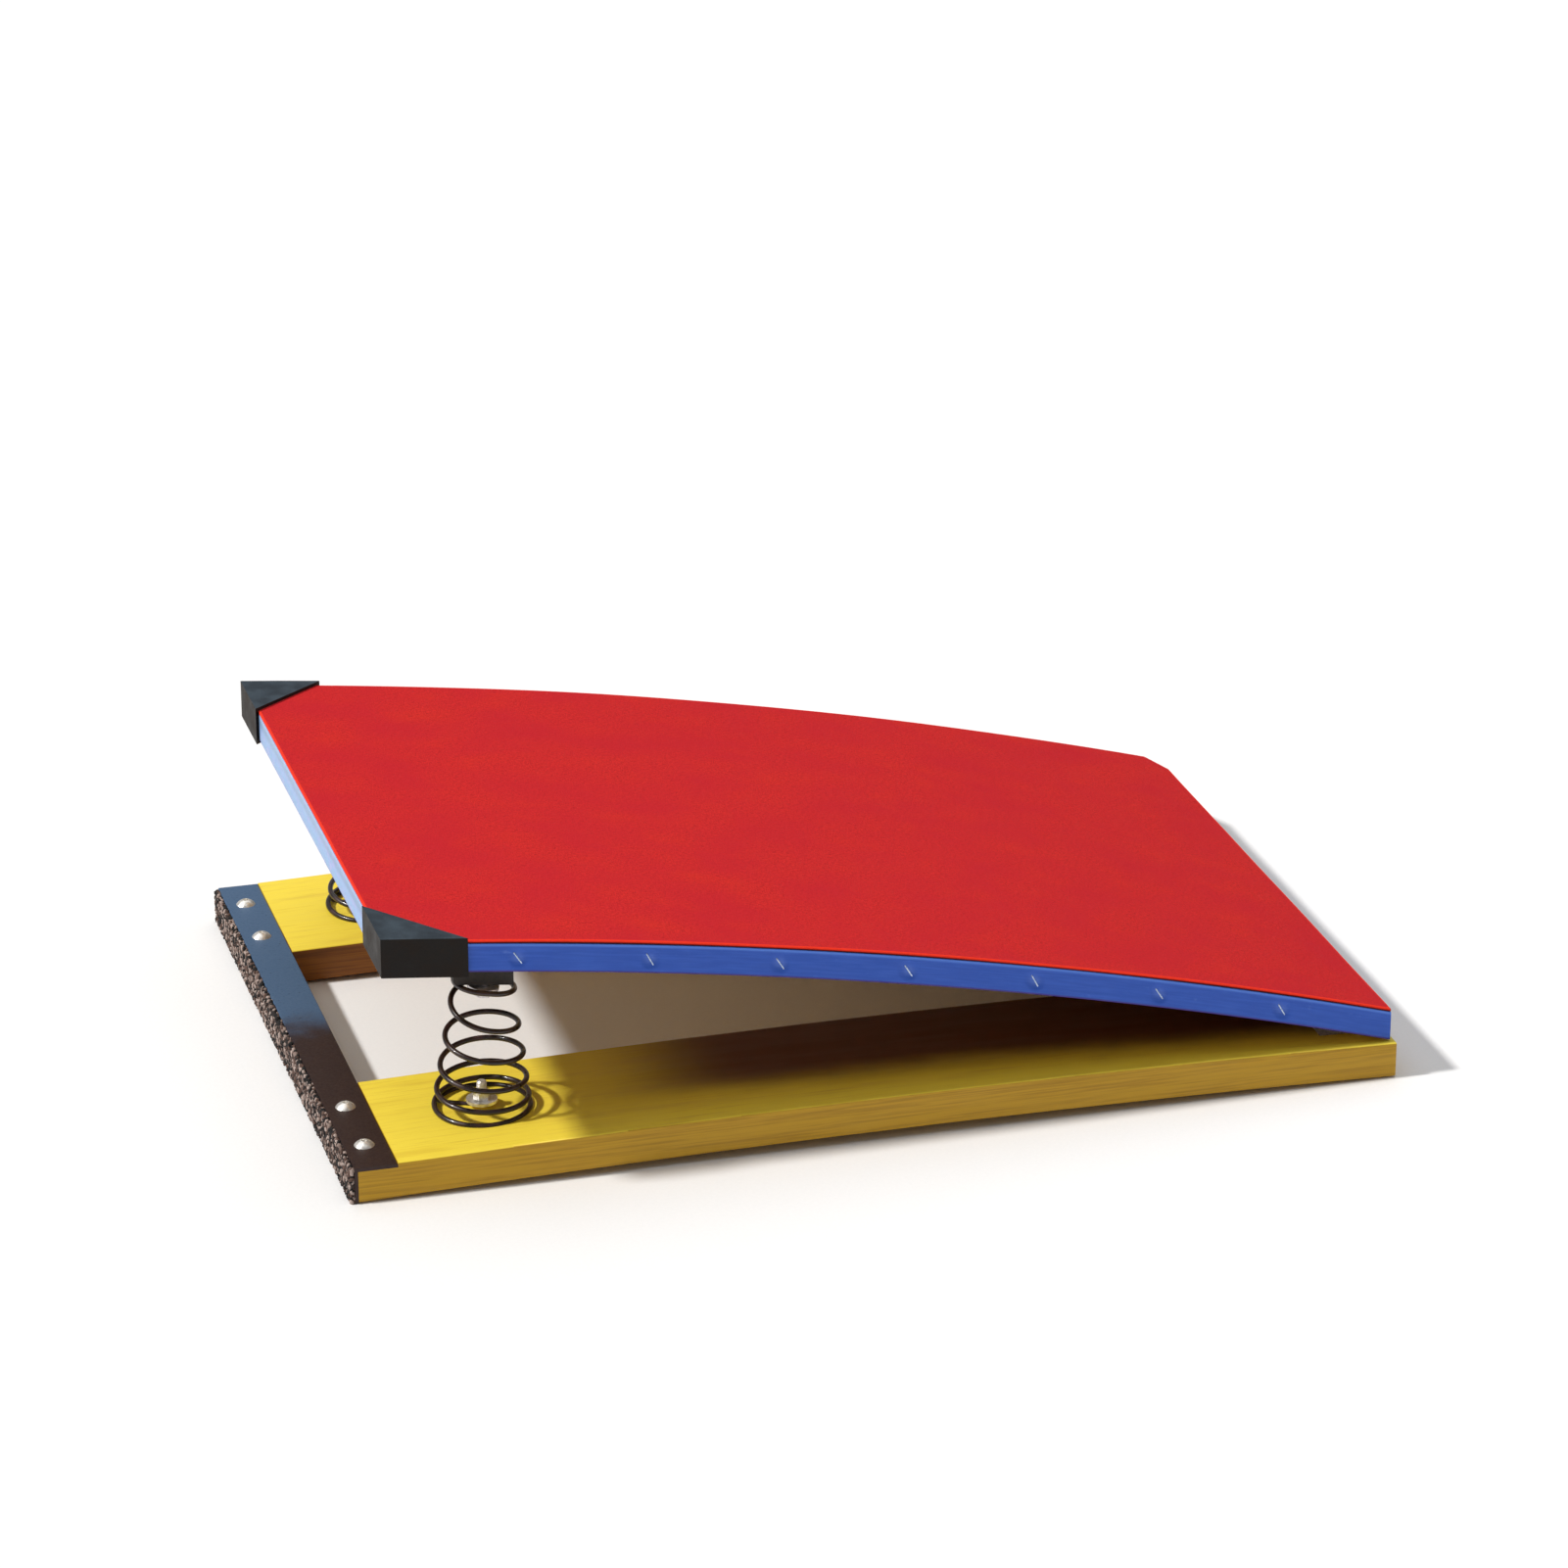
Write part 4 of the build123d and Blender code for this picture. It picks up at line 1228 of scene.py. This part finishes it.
@dataclass
class Deck:
    """The board's soft top: carpet over foam over a plywood panel, with an edge tape round them."""

    carpet_thickness: float = 3 * MM
    foam_thickness: float = 6.5 * MM
    build_up: float = 27.5 * MM
    tape: float = 1.6 * MM
    clip_along: float = 15 * MM
    clip_across: float = 26 * MM
    arch: Arch = field(default_factory=lambda: Arch.over("carpet_cover"))

    def outline(self) -> list[tuple[float, float]]:
        """Return the board's corners, counter-clockwise from the high near one.

        Returns:
            Five corners, with the far low one cut off.
        """
        low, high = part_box("carpet_cover")
        return [
            (low.x, low.y),
            (high.x, low.y),
            (high.x, high.y - self.clip_across),
            (high.x - self.clip_along, high.y),
            (low.x, high.y),
        ]

    def flat_size(self) -> tuple[float, float]:
        """Return the carpet's width and length before it was bent."""
        low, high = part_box("carpet_cover")
        return high.y - low.y, self.arch.run(high.x) - self.arch.run(low.x)

    def carpet(self) -> bpy.types.Object:
        """Lay the carpet.

        Returns:
            The carpet.
        """

        def drape(spot: Vector) -> float:
            """Return a shallow unevenness, at most a third of a millimetre."""
            waves = math.sin(spot.x * 23 + 1) * math.sin(spot.y * 17) + math.sin(spot.x * 9 + spot.y * 31)
            return 0.16 * MM * waves

        piece = bent_layer(
            "carpet",
            self.outline(),
            (0.0, self.carpet_thickness),
            self.arch,
            1.3 * MM,
            14 * MM,
            drape,
            hem=4 * MM,
        )
        dress(piece, finish(Slot.CARPET))
        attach(piece, Body.BOARD.value)
        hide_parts("carpet_cover")
        self.flat_size()
        return piece

    def foam(self) -> bpy.types.Object:
        """Lay the foam under the carpet.

        Returns:
            The foam.
        """
        depths = (self.carpet_thickness + 0.1 * MM, self.carpet_thickness + self.foam_thickness)
        within = inset(self.outline(), self.tape + 0.1 * MM)
        piece = bent_layer("foam_pad", within, depths, self.arch, 1.5 * MM, 20 * MM)
        dress(piece, finish(Slot.FOAM))
        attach(piece, Body.BOARD.value)
        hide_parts("foam_layer")
        return piece

    def tapes(self) -> list[bpy.types.Object]:
        """Wrap the edge tape round the four sides.

        Returns:
            The near, low-end, far and high-end tapes.
        """
        outer = self.outline()
        inner = inset(outer, self.tape)
        runs = {
            "near_edge_tape": ("near_edge_band", [0, 1], Slot.VINYL),
            "low_end_tape": ("low_end_band", [1, 2], Slot.VINYL),
            "far_edge_tape": ("far_edge_band", [2, 3, 4], Slot.VINYL),
            # the high-end tape has no slot and gets the paler copy, painted light
            "high_end_tape": ("high_end_band", [4, 0], None),
        }
        pieces = []
        for name, (node, corners, slot) in runs.items():
            strip = [outer[i] for i in corners] + [inner[i] for i in reversed(corners)]
            piece = bent_layer(
                name, strip, (self.carpet_thickness, self.build_up), self.arch, 0.5 * MM, 12 * MM
            )
            dress(piece, finish(slot) if slot else HIGH_END_TAPE.material())
            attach(piece, Body.BOARD.value)
            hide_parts(node)
            pieces.append(piece)
        return pieces

    def build(self) -> list[bpy.types.Object]:
        """Build every soft layer of the board."""
        return [self.foam(), self.carpet(), *self.tapes()]


@dataclass
class Staples:
    """The wire staples that hold the tape to the panel along both sides."""

    wire: float = 0.6 * MM
    crown: float = 12 * MM
    leg: float = 6 * MM
    bend: float = 1.0 * MM
    below_top: float = 15.5 * MM
    lean: float = math.radians(30)
    pitch: float = 109 * MM
    count: int = 7
    middle: float = 20 * MM
    bend_steps: int = 4
    wobble: float = math.radians(3)

    def shape(self) -> bpy.types.Object:
        """Bend one staple: a straight crown and two legs, with rounded corners.

        Returns:
            The staple, standing in the XZ plane, with its legs along +Y.
        """
        half = self.crown / 2
        points = [Vector((0, self.leg, -half))]
        for side in (-1, 1):
            for i in range(self.bend_steps + 1):
                turn = math.radians(90) * i / self.bend_steps
                away = math.sin(turn) if side < 0 else math.cos(turn)
                back = math.cos(turn) if side < 0 else math.sin(turn)
                y = self.bend * (1 - away)
                z = side * (half - self.bend * (1 - back))
                points.append(Vector((0, y, z)))
        points.append(Vector((0, self.leg, half)))
        piece = new_piece("staple_shape", line_mesh("staple_shape", points))
        return sweep_tree().grow(piece, Wire_Radius=self.wire, Sides=10)

    def row(self, side: int, shape: bpy.types.Object) -> bpy.types.Object:
        """Drive one row of staples.

        Args:
            side: -1 for the near side, 1 for the far one.
            shape: The staple.

        Returns:
            The row as one mesh.
        """
        arch = Arch.over("carpet_cover")
        low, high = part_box("carpet_cover")
        face = low.y if side < 0 else high.y
        spots = []
        for i in range(self.count):
            x = self.middle + (i - (self.count - 1) / 2) * self.pitch
            spots.append(Vector((x, face, arch.height(x, self.below_top))))
        name = "near_staple_row" if side < 0 else "far_staple_row"
        mesh = line_mesh(name, spots, joined=False)
        turns = mesh.attributes.new("turn", "FLOAT_VECTOR", "POINT")
        for i, one in enumerate(turns.data):
            wobble = self.wobble * math.sin(i * 2.3 + side)
            one.vector = (0.0, side * self.lean + wobble, 0.0 if side < 0 else math.pi)
        piece = new_piece(name, mesh)
        repeat_tree().grow(piece, Shape=shape, Size_Spread=0.02, Seed=3, Material=finish(Slot.STAPLE))
        dress(piece, finish(Slot.STAPLE))
        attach(piece, Body.BOARD.value)
        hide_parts("near_staples" if side < 0 else "far_staples")
        return piece

    def build(self) -> list[bpy.types.Object]:
        """Drive both rows.

        Returns:
            The near row and the far one.
        """
        shape = self.shape()
        rows = [self.row(side, shape) for side in (-1, 1)]
        bpy.data.objects.remove(shape)
        return rows


@dataclass
class CornerGuards:
    """The moulded caps over the board's two high corners."""

    ease: float = 0.9 * MM

    def build(self) -> list[bpy.types.Object]:
        """Ease and dress both guards.

        Returns:
            The two guards.
        """
        pieces = []
        for side in ("near", "far"):
            node = f"{side}_corner_guard"
            piece = eased_copy(f"{side}_guard_cap", node, self.ease)
            dress(piece, finish(Slot.PLASTIC))
            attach(piece, Body.BOARD.value)
            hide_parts(node)
            pieces.append(piece)
        return pieces


# ---------------------------------------------------------------- the base


@dataclass
class Springs:
    """The two conical springs, left-handed, wide at the rail and narrow under the crossbar."""

    wire: float = 2.3 * MM
    tail: float = 5 * MM
    radii: tuple[float, ...] = (40 * MM, 38.3 * MM, 36 * MM, 32.8 * MM, 28.5 * MM, 24.6 * MM)
    pitches: tuple[float, ...] = (10.4 * MM, 16.6 * MM, 23.1 * MM, 24.9 * MM, 30 * MM)
    first_front: float = 0.155
    steepness: float = 0.6
    closed: float = 0.75
    per_turn: int = 72
    sides: int = 18
    first_slope: float = 0.35
    closed_low: float = 0.4
    tail_steps: int = 14
    tail_reach: float = 0.9

    def climb(self, turn: float) -> tuple[float, float]:
        """Work out where the wire is after some turns.

        Args:
            turn: Turns from the start of the climb, negative on the lowest coil.

        Returns:
            How far up it is, from 0 to 1, and how wide the coil is there.
        """
        slow = turn - self.steepness * math.sin(math.tau * turn) / math.tau
        heights = [0.0]
        for one in self.pitches:
            heights.append(heights[-1] + one)
        spot = min(max(slow - self.first_front, 0.0), len(self.pitches) - 1e-6)
        ring = int(spot)
        share = spot - ring
        before = self.pitches[ring - 1] if ring else self.pitches[0] * self.first_slope
        after = self.pitches[ring]
        beyond = self.pitches[ring + 1] if ring + 1 < len(self.pitches) else 0.0
        start, end = (before + after) / 2, (after + beyond) / 2
        cube, square = share**3, share**2
        rise = heights[ring]
        rise += (cube - 2 * square + share) * start + (3 * square - 2 * cube) * after + (cube - square) * end
        wide = self.radii[ring] + (self.radii[ring + 1] - self.radii[ring]) * share
        return min(rise / heights[-1], 1.0), wide

    def route(self, node: str) -> list[Vector]:
        """Work out the middle line of one spring's wire.

        Args:
            node: The frame node of that spring.

        Returns:
            The line's points, from the tail at the rail to the tail under the crossbar.
        """
        rail, board = Arch.over("near_rail"), Arch.over("carpet_cover")
        low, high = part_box(node)
        foot = Vector(((low.x + high.x) / 2, (low.y + high.y) / 2, 0))
        foot.z = rail.height(foot.x) + self.wire
        clamp = (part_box("spring_top_washers")[0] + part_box("spring_top_washers")[1]) / 2
        head = Vector((clamp.x, foot.y, clamp.z)) + board.up(clamp.x) * (self.wire * 1.6)
        turns = len(self.pitches) + self.closed
        begin = -self.closed_low
        count = int((turns - begin) * self.per_turn)
        points = []

        def at(turn: float, wide: float, share: float) -> Vector:
            """Find a point of the wire's middle line.

            Args:
                turn: Turns from the start of the climb.
                wide: How wide the coil is there.
                share: How far up it is, from 0 to 1.

            Returns:
                The point.
            """
            angle = -math.tau * turn
            middle = foot.lerp(head, share)
            along = rail.along(foot.x).lerp(board.along(head.x), share).normalized()
            return middle + along * (wide * math.cos(angle)) + Vector((0, wide * math.sin(angle), 0))

        for i in range(count + 1):
            turn = begin + (turns - begin) * i / count
            share, wide = self.climb(turn)
            points.append(at(turn, wide, share))
        lower = self.lead_in(points[0], points[1], foot, at(begin, self.tail, 0.0))
        upper = self.lead_in(points[-1], points[-2], head, at(turns, self.tail, 1.0))
        return list(reversed(lower)) + points + upper

    def lead_in(self, edge: Vector, beyond: Vector, middle: Vector, end: Vector) -> list[Vector]:
        """Bend a coil's last bit in to its middle.

        Args:
            edge: The coil's last point.
            beyond: The point before it.
            middle: The coil's middle.
            end: Where the tail stops.

        Returns:
            The tail's points, from the coil inwards.
        """
        onward = (edge - beyond).normalized()
        inward = (middle - edge).normalized()
        first = edge + onward * (4 * MM)
        last = edge + onward * (5 * MM) + inward * (7 * MM)
        stop = last + (end - last) * self.tail_reach
        points = []
        for i in range(1, self.tail_steps + 1):
            t = i / self.tail_steps
            back = 1 - t
            points.append(
                edge * back**3 + first * (3 * back**2 * t) + last * (3 * back * t**2) + stop * t**3
            )
        return points

    def build(self) -> list[bpy.types.Object]:
        """Wind both springs.

        Returns:
            The two springs.
        """
        tree = sweep_tree()
        pieces = []
        for side in ("near", "far"):
            node = f"{side}_spring"
            route = self.route(node)
            piece = new_piece(f"{side}_conical_spring", line_mesh(f"{side}_conical_spring", route))
            tree.grow(piece, Wire_Radius=self.wire, Sides=self.sides, Material=finish(Slot.SPRING_STEEL))
            dress(piece, finish(Slot.SPRING_STEEL))
            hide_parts(node)
            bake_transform(piece)
            pieces.append(piece)
        return pieces


@dataclass
class GripStrip:
    """The strip of pressed rubber granulate across the sprung end."""

    crumb: float = 2.8 * MM
    per_area: float = 105000.0
    bed: float = 1.4 * MM
    roughen: float = 1.1 * MM
    columns: int = 150
    rows: int = 9

    def build(self) -> list[bpy.types.Object]:
        """Press the strip and bed its crumbs.

        Returns:
            The strip.
        """
        low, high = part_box("front_grip_strip")
        made = bmesh.new()
        corners = [low + Vector((self.bed, self.bed, 0.4 * MM)), high - Vector((0.0, self.bed, self.bed))]
        bmesh.ops.create_cube(made, size=1.0)
        for v in made.verts:
            v.co = Vector(corners[1 if v.co[i] > 0 else 0][i] for i in range(3))
        for axis, parts in ((1, self.columns), (2, self.rows)):
            normal = Vector((0, 1, 0)) if axis == 1 else Vector((0, 0, 1))
            for i in range(1, parts):
                spot = normal * (corners[0][axis] + (corners[1][axis] - corners[0][axis]) * i / parts)
                whole = made.verts[:] + made.edges[:] + made.faces[:]
                bmesh.ops.bisect_plane(made, geom=whole, plane_co=spot, plane_no=normal, dist=1e-7)
        mesh = bpy.data.meshes.new("granulate_strip")
        made.to_mesh(mesh)
        made.free()
        piece = new_piece("granulate_strip", mesh)
        granule_tree().grow(
            piece,
            Per_Area=self.per_area,
            Crumb_Radius=self.crumb,
            Roughen=self.roughen,
            Seed=11,
            Material=finish(Slot.GRANULATE),
        )
        self.trim(piece.data, low, high)
        dress(piece, finish(Slot.GRANULATE))
        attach(piece, Body.BASE.value)
        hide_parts("front_grip_strip")
        return [piece]

    def trim(self, mesh: bpy.types.Mesh, low: Vector, high: Vector) -> None:
        """Press every crumb back inside the strip's mould.

        Args:
            mesh: The strip's mesh.
            low: The mould's lowest corner.
            high: Its highest corner.
        """
        room = 0.5 * MM
        for v in mesh.vertices:
            v.co.x = min(max(v.co.x, low.x - room), high.x)
            v.co.y = min(max(v.co.y, low.y - room), high.y + room)
            v.co.z = min(max(v.co.z, low.z + 0.1 * MM), high.z + room)


@dataclass
class BoltThreads:
    """The rolled threads on the two bolts that stand inside the springs, above their nuts."""

    shank: float = 4 * MM
    crest: float = 0.36 * MM
    lead: float = 1.25 * MM
    per_turn: int = 20
    chamfer: float = 1.4 * MM

    def build(self) -> list[bpy.types.Object]:
        """Roll both threads, each as one helix round its shank.

        Returns:
            The two threads.
        """
        low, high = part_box("spring_base_bolts")
        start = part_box("spring_base_nuts")[1].z + self.crest
        turns = (high.z - self.chamfer - start) / self.lead
        tree = sweep_tree()
        pieces = []
        for side in ("near", "far"):
            coil_low, coil_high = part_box(f"{side}_spring")
            middle = Vector(((low.x + high.x) / 2, (coil_low.y + coil_high.y) / 2, start))
            points = []
            for i in range(int(turns * self.per_turn) + 1):
                turn = i / self.per_turn
                angle = math.tau * turn
                round_shank = Vector((math.cos(angle), math.sin(angle), 0)) * self.shank
                points.append(middle + round_shank + Vector((0, 0, turn * self.lead)))
            name = f"{side}_bolt_thread"
            piece = new_piece(name, line_mesh(name, points))
            tree.grow(piece, Wire_Radius=self.crest, Sides=6, Material=finish(Slot.ZINC))
            dress(piece, finish(Slot.ZINC))
            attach(piece, Body.BASE.value)
            pieces.append(piece)
        return pieces


@dataclass
class RubberFeet:
    """The four rubber feet let into the rails, each a pad with ribs across its underside."""

    length: float = 60 * MM
    width: float = 110 * MM
    ease: float = 0.8 * MM
    rib_height: float = 1.5 * MM
    rib_width: float = 2.8 * MM
    rib_pitch: float = 5 * MM
    margin: float = 4 * MM

    def block(self, made: bmesh.types.BMesh, low: Vector, high: Vector, ease: float) -> None:
        """Add a block with eased edges to a mesh.

        Args:
            made: The mesh that gets it.
            low: Its lowest corner.
            high: Its highest corner.
            ease: The radius of its edges.
        """
        new = bmesh.ops.create_cube(made, size=1.0)["verts"]
        for v in new:
            v.co = Vector((high if v.co[i] > 0 else low)[i] for i in range(3))
        edges = list({e for v in new for e in v.link_edges})
        bmesh.ops.bevel(made, geom=edges, offset=ease, segments=2, profile=0.5, affect="EDGES")

    def rib(self) -> bpy.types.Object:
        """Mould one rib, lying across the foot with its middle at the origin.

        Returns:
            The rib.
        """
        made = bmesh.new()
        half = Vector((self.rib_width / 2, self.width / 2 - self.margin, self.rib_height / 2))
        self.block(made, -half, half, self.rib_height * 0.3)
        mesh = bpy.data.meshes.new("foot_rib")
        made.to_mesh(mesh)
        made.free()
        return new_piece("foot_rib", mesh)

    def build(self) -> list[bpy.types.Object]:
        """Mould the pads and set the ribs under them.

        Returns:
            The feet, as one piece.
        """
        low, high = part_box("rubber_feet")
        rib = self.rib()
        reach = self.length / 2 - self.margin
        per_foot = int(2 * reach / self.rib_pitch) + 1
        made = bmesh.new()
        spots = []
        for x in (low.x + self.length / 2, high.x - self.length / 2):
            for y in (low.y + self.width / 2, high.y - self.width / 2):
                corner = Vector((x - self.length / 2, y - self.width / 2, self.rib_height * 0.9))
                top = Vector((x + self.length / 2, y + self.width / 2, high.z))
                self.block(made, corner, top, self.ease)
                for i in range(per_foot):
                    along = (i - (per_foot - 1) / 2) * self.rib_pitch
                    spots.append(Vector((x + along, y, self.rib_height / 2)))
        ribs = line_mesh("ribbed_feet", spots, joined=False)
        ribs.attributes.new("turn", "FLOAT_VECTOR", "POINT")
        piece = new_piece("ribbed_feet", ribs)
        repeat_tree().grow(piece, Shape=rib, Size_Spread=0.0, Seed=5, Material=finish(Slot.RUBBER))
        made.from_mesh(piece.data)
        made.to_mesh(piece.data)
        made.free()
        bpy.data.objects.remove(rib)
        smooth(piece, 50.0)
        dress(piece, finish(Slot.RUBBER))
        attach(piece, Body.BASE.value)
        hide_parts("rubber_feet")
        return [piece]


@dataclass
class CarriedParts:
    """The frame's own hard parts, which keep their shape and get their finish."""

    replaced: tuple[str, ...] = (
        "carpet_cover",
        "foam_layer",
        "near_edge_band",
        "far_edge_band",
        "high_end_band",
        "low_end_band",
        "near_staples",
        "far_staples",
        "near_corner_guard",
        "far_corner_guard",
        "near_spring",
        "far_spring",
        "front_grip_strip",
        "rubber_feet",
    )

    def build(self) -> list[bpy.types.Object]:
        """Dress every part by its slot.

        Returns:
            The dressed parts.
        """
        pieces = []
        for name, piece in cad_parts.items():
            if name in self.replaced:
                continue
            slot = Slot(piece.data.materials[0].name.split(".")[0])
            dress(piece, finish(slot))
            pieces.append(piece)
        return pieces


# ---------------------------------------------------------------- the studio


@dataclass
class Studio:
    """A pale floor, soft light from the upper left and the camera."""

    lens: float = 129.62
    place: tuple[float, float, float] = (-1.22539, -4.33126, 2.01795)
    heading: float = 15.7666
    tilt: float = -21.9927
    sensor: float = 36.0
    floor_reach: float = 60.0
    sky: float = 0.2
    hang: float = 3.0
    lamps: tuple[tuple[str, tuple[float, float, float], float, float, str], ...] = (
        ("key", (-1.2, 0.1, 1.2), 5.0, 2.8, "#FFFDFA"),
        ("top", (0.05, 0.25, 1.0), 75.0, 1.05, "#FFFFFF"),
    )

    def floor(self) -> bpy.types.Object:
        """Lay the floor.

        Returns:
            The floor.
        """
        mesh = bpy.data.meshes.new("studio_floor")
        reach = self.floor_reach
        mesh.from_pydata(
            [(-reach, -reach, 0), (reach, -reach, 0), (reach, reach, 0), (-reach, reach, 0)],
            [],
            [(0, 1, 2, 3)],
        )
        piece = new_piece("studio_floor", mesh)
        dress(piece, StudioFloor("matt_studio_board", roughness=0.9).material())
        return piece

    def lamp(
        self, name: str, towards: tuple[float, float, float], spread: float, power: float, colour: str
    ) -> bpy.types.Object:
        """Hang a broad, distant lamp, as soft as a lit cloth that fills some degrees of the sky.

        Args:
            name: The lamp's name.
            towards: The direction in which it hangs, from the board.
            spread: How many degrees it fills.
            power: Its power in watts for each square metre.
            colour: Its colour.

        Returns:
            The lamp.
        """
        light = bpy.data.lights.new(name, "SUN")
        light.angle = math.radians(spread)
        light.energy = power
        light.color = linear(colour)[:3]
        lamp = bpy.data.objects.new(name, light)
        lamp.location = Vector(towards).normalized() * self.hang
        lamp.rotation_euler = (-Vector(towards)).to_track_quat("-Z", "Y").to_euler()
        bpy.context.scene.collection.objects.link(lamp)
        return lamp

    def camera(self) -> bpy.types.Object:
        """Set up the camera.

        Returns:
            The camera.
        """
        data = bpy.data.cameras.new("camera")
        data.lens = self.lens
        data.sensor_width = self.sensor
        camera = bpy.data.objects.new("camera", data)
        camera.location = self.place
        camera.rotation_euler = (math.radians(90 + self.tilt), 0.0, math.radians(-self.heading))
        bpy.context.scene.collection.objects.link(camera)
        bpy.context.scene.camera = camera
        return camera

    def build(self) -> None:
        """Light the scene and set its tones."""
        scene = bpy.context.scene
        scene.view_settings.view_transform = "Standard"
        scene.world = bpy.data.worlds.new("studio")
        scene.world.use_nodes = True
        sky = scene.world.node_tree.nodes["Background"]
        sky.inputs["Color"].default_value = linear("#FFFFFF")
        sky.inputs["Strength"].default_value = self.sky
        self.floor()
        for lamp in self.lamps:
            self.lamp(*lamp)
        self.camera()


def main() -> None:
    """Build every sub-assembly in order and report its pieces."""
    logging.basicConfig(level=logging.INFO, format="%(name)s: %(message)s")
    parts = (
        CarriedParts(),
        Deck(),
        Staples(),
        CornerGuards(),
        Springs(),
        BoltThreads(),
        GripStrip(),
        RubberFeet(),
    )
    for group in parts:
        for piece in group.build():
            LOG.info("%s %s: %d faces", type(group).__name__, piece.name, len(piece.data.polygons))
    Studio().build()


if __name__ == "__main__":
    main()
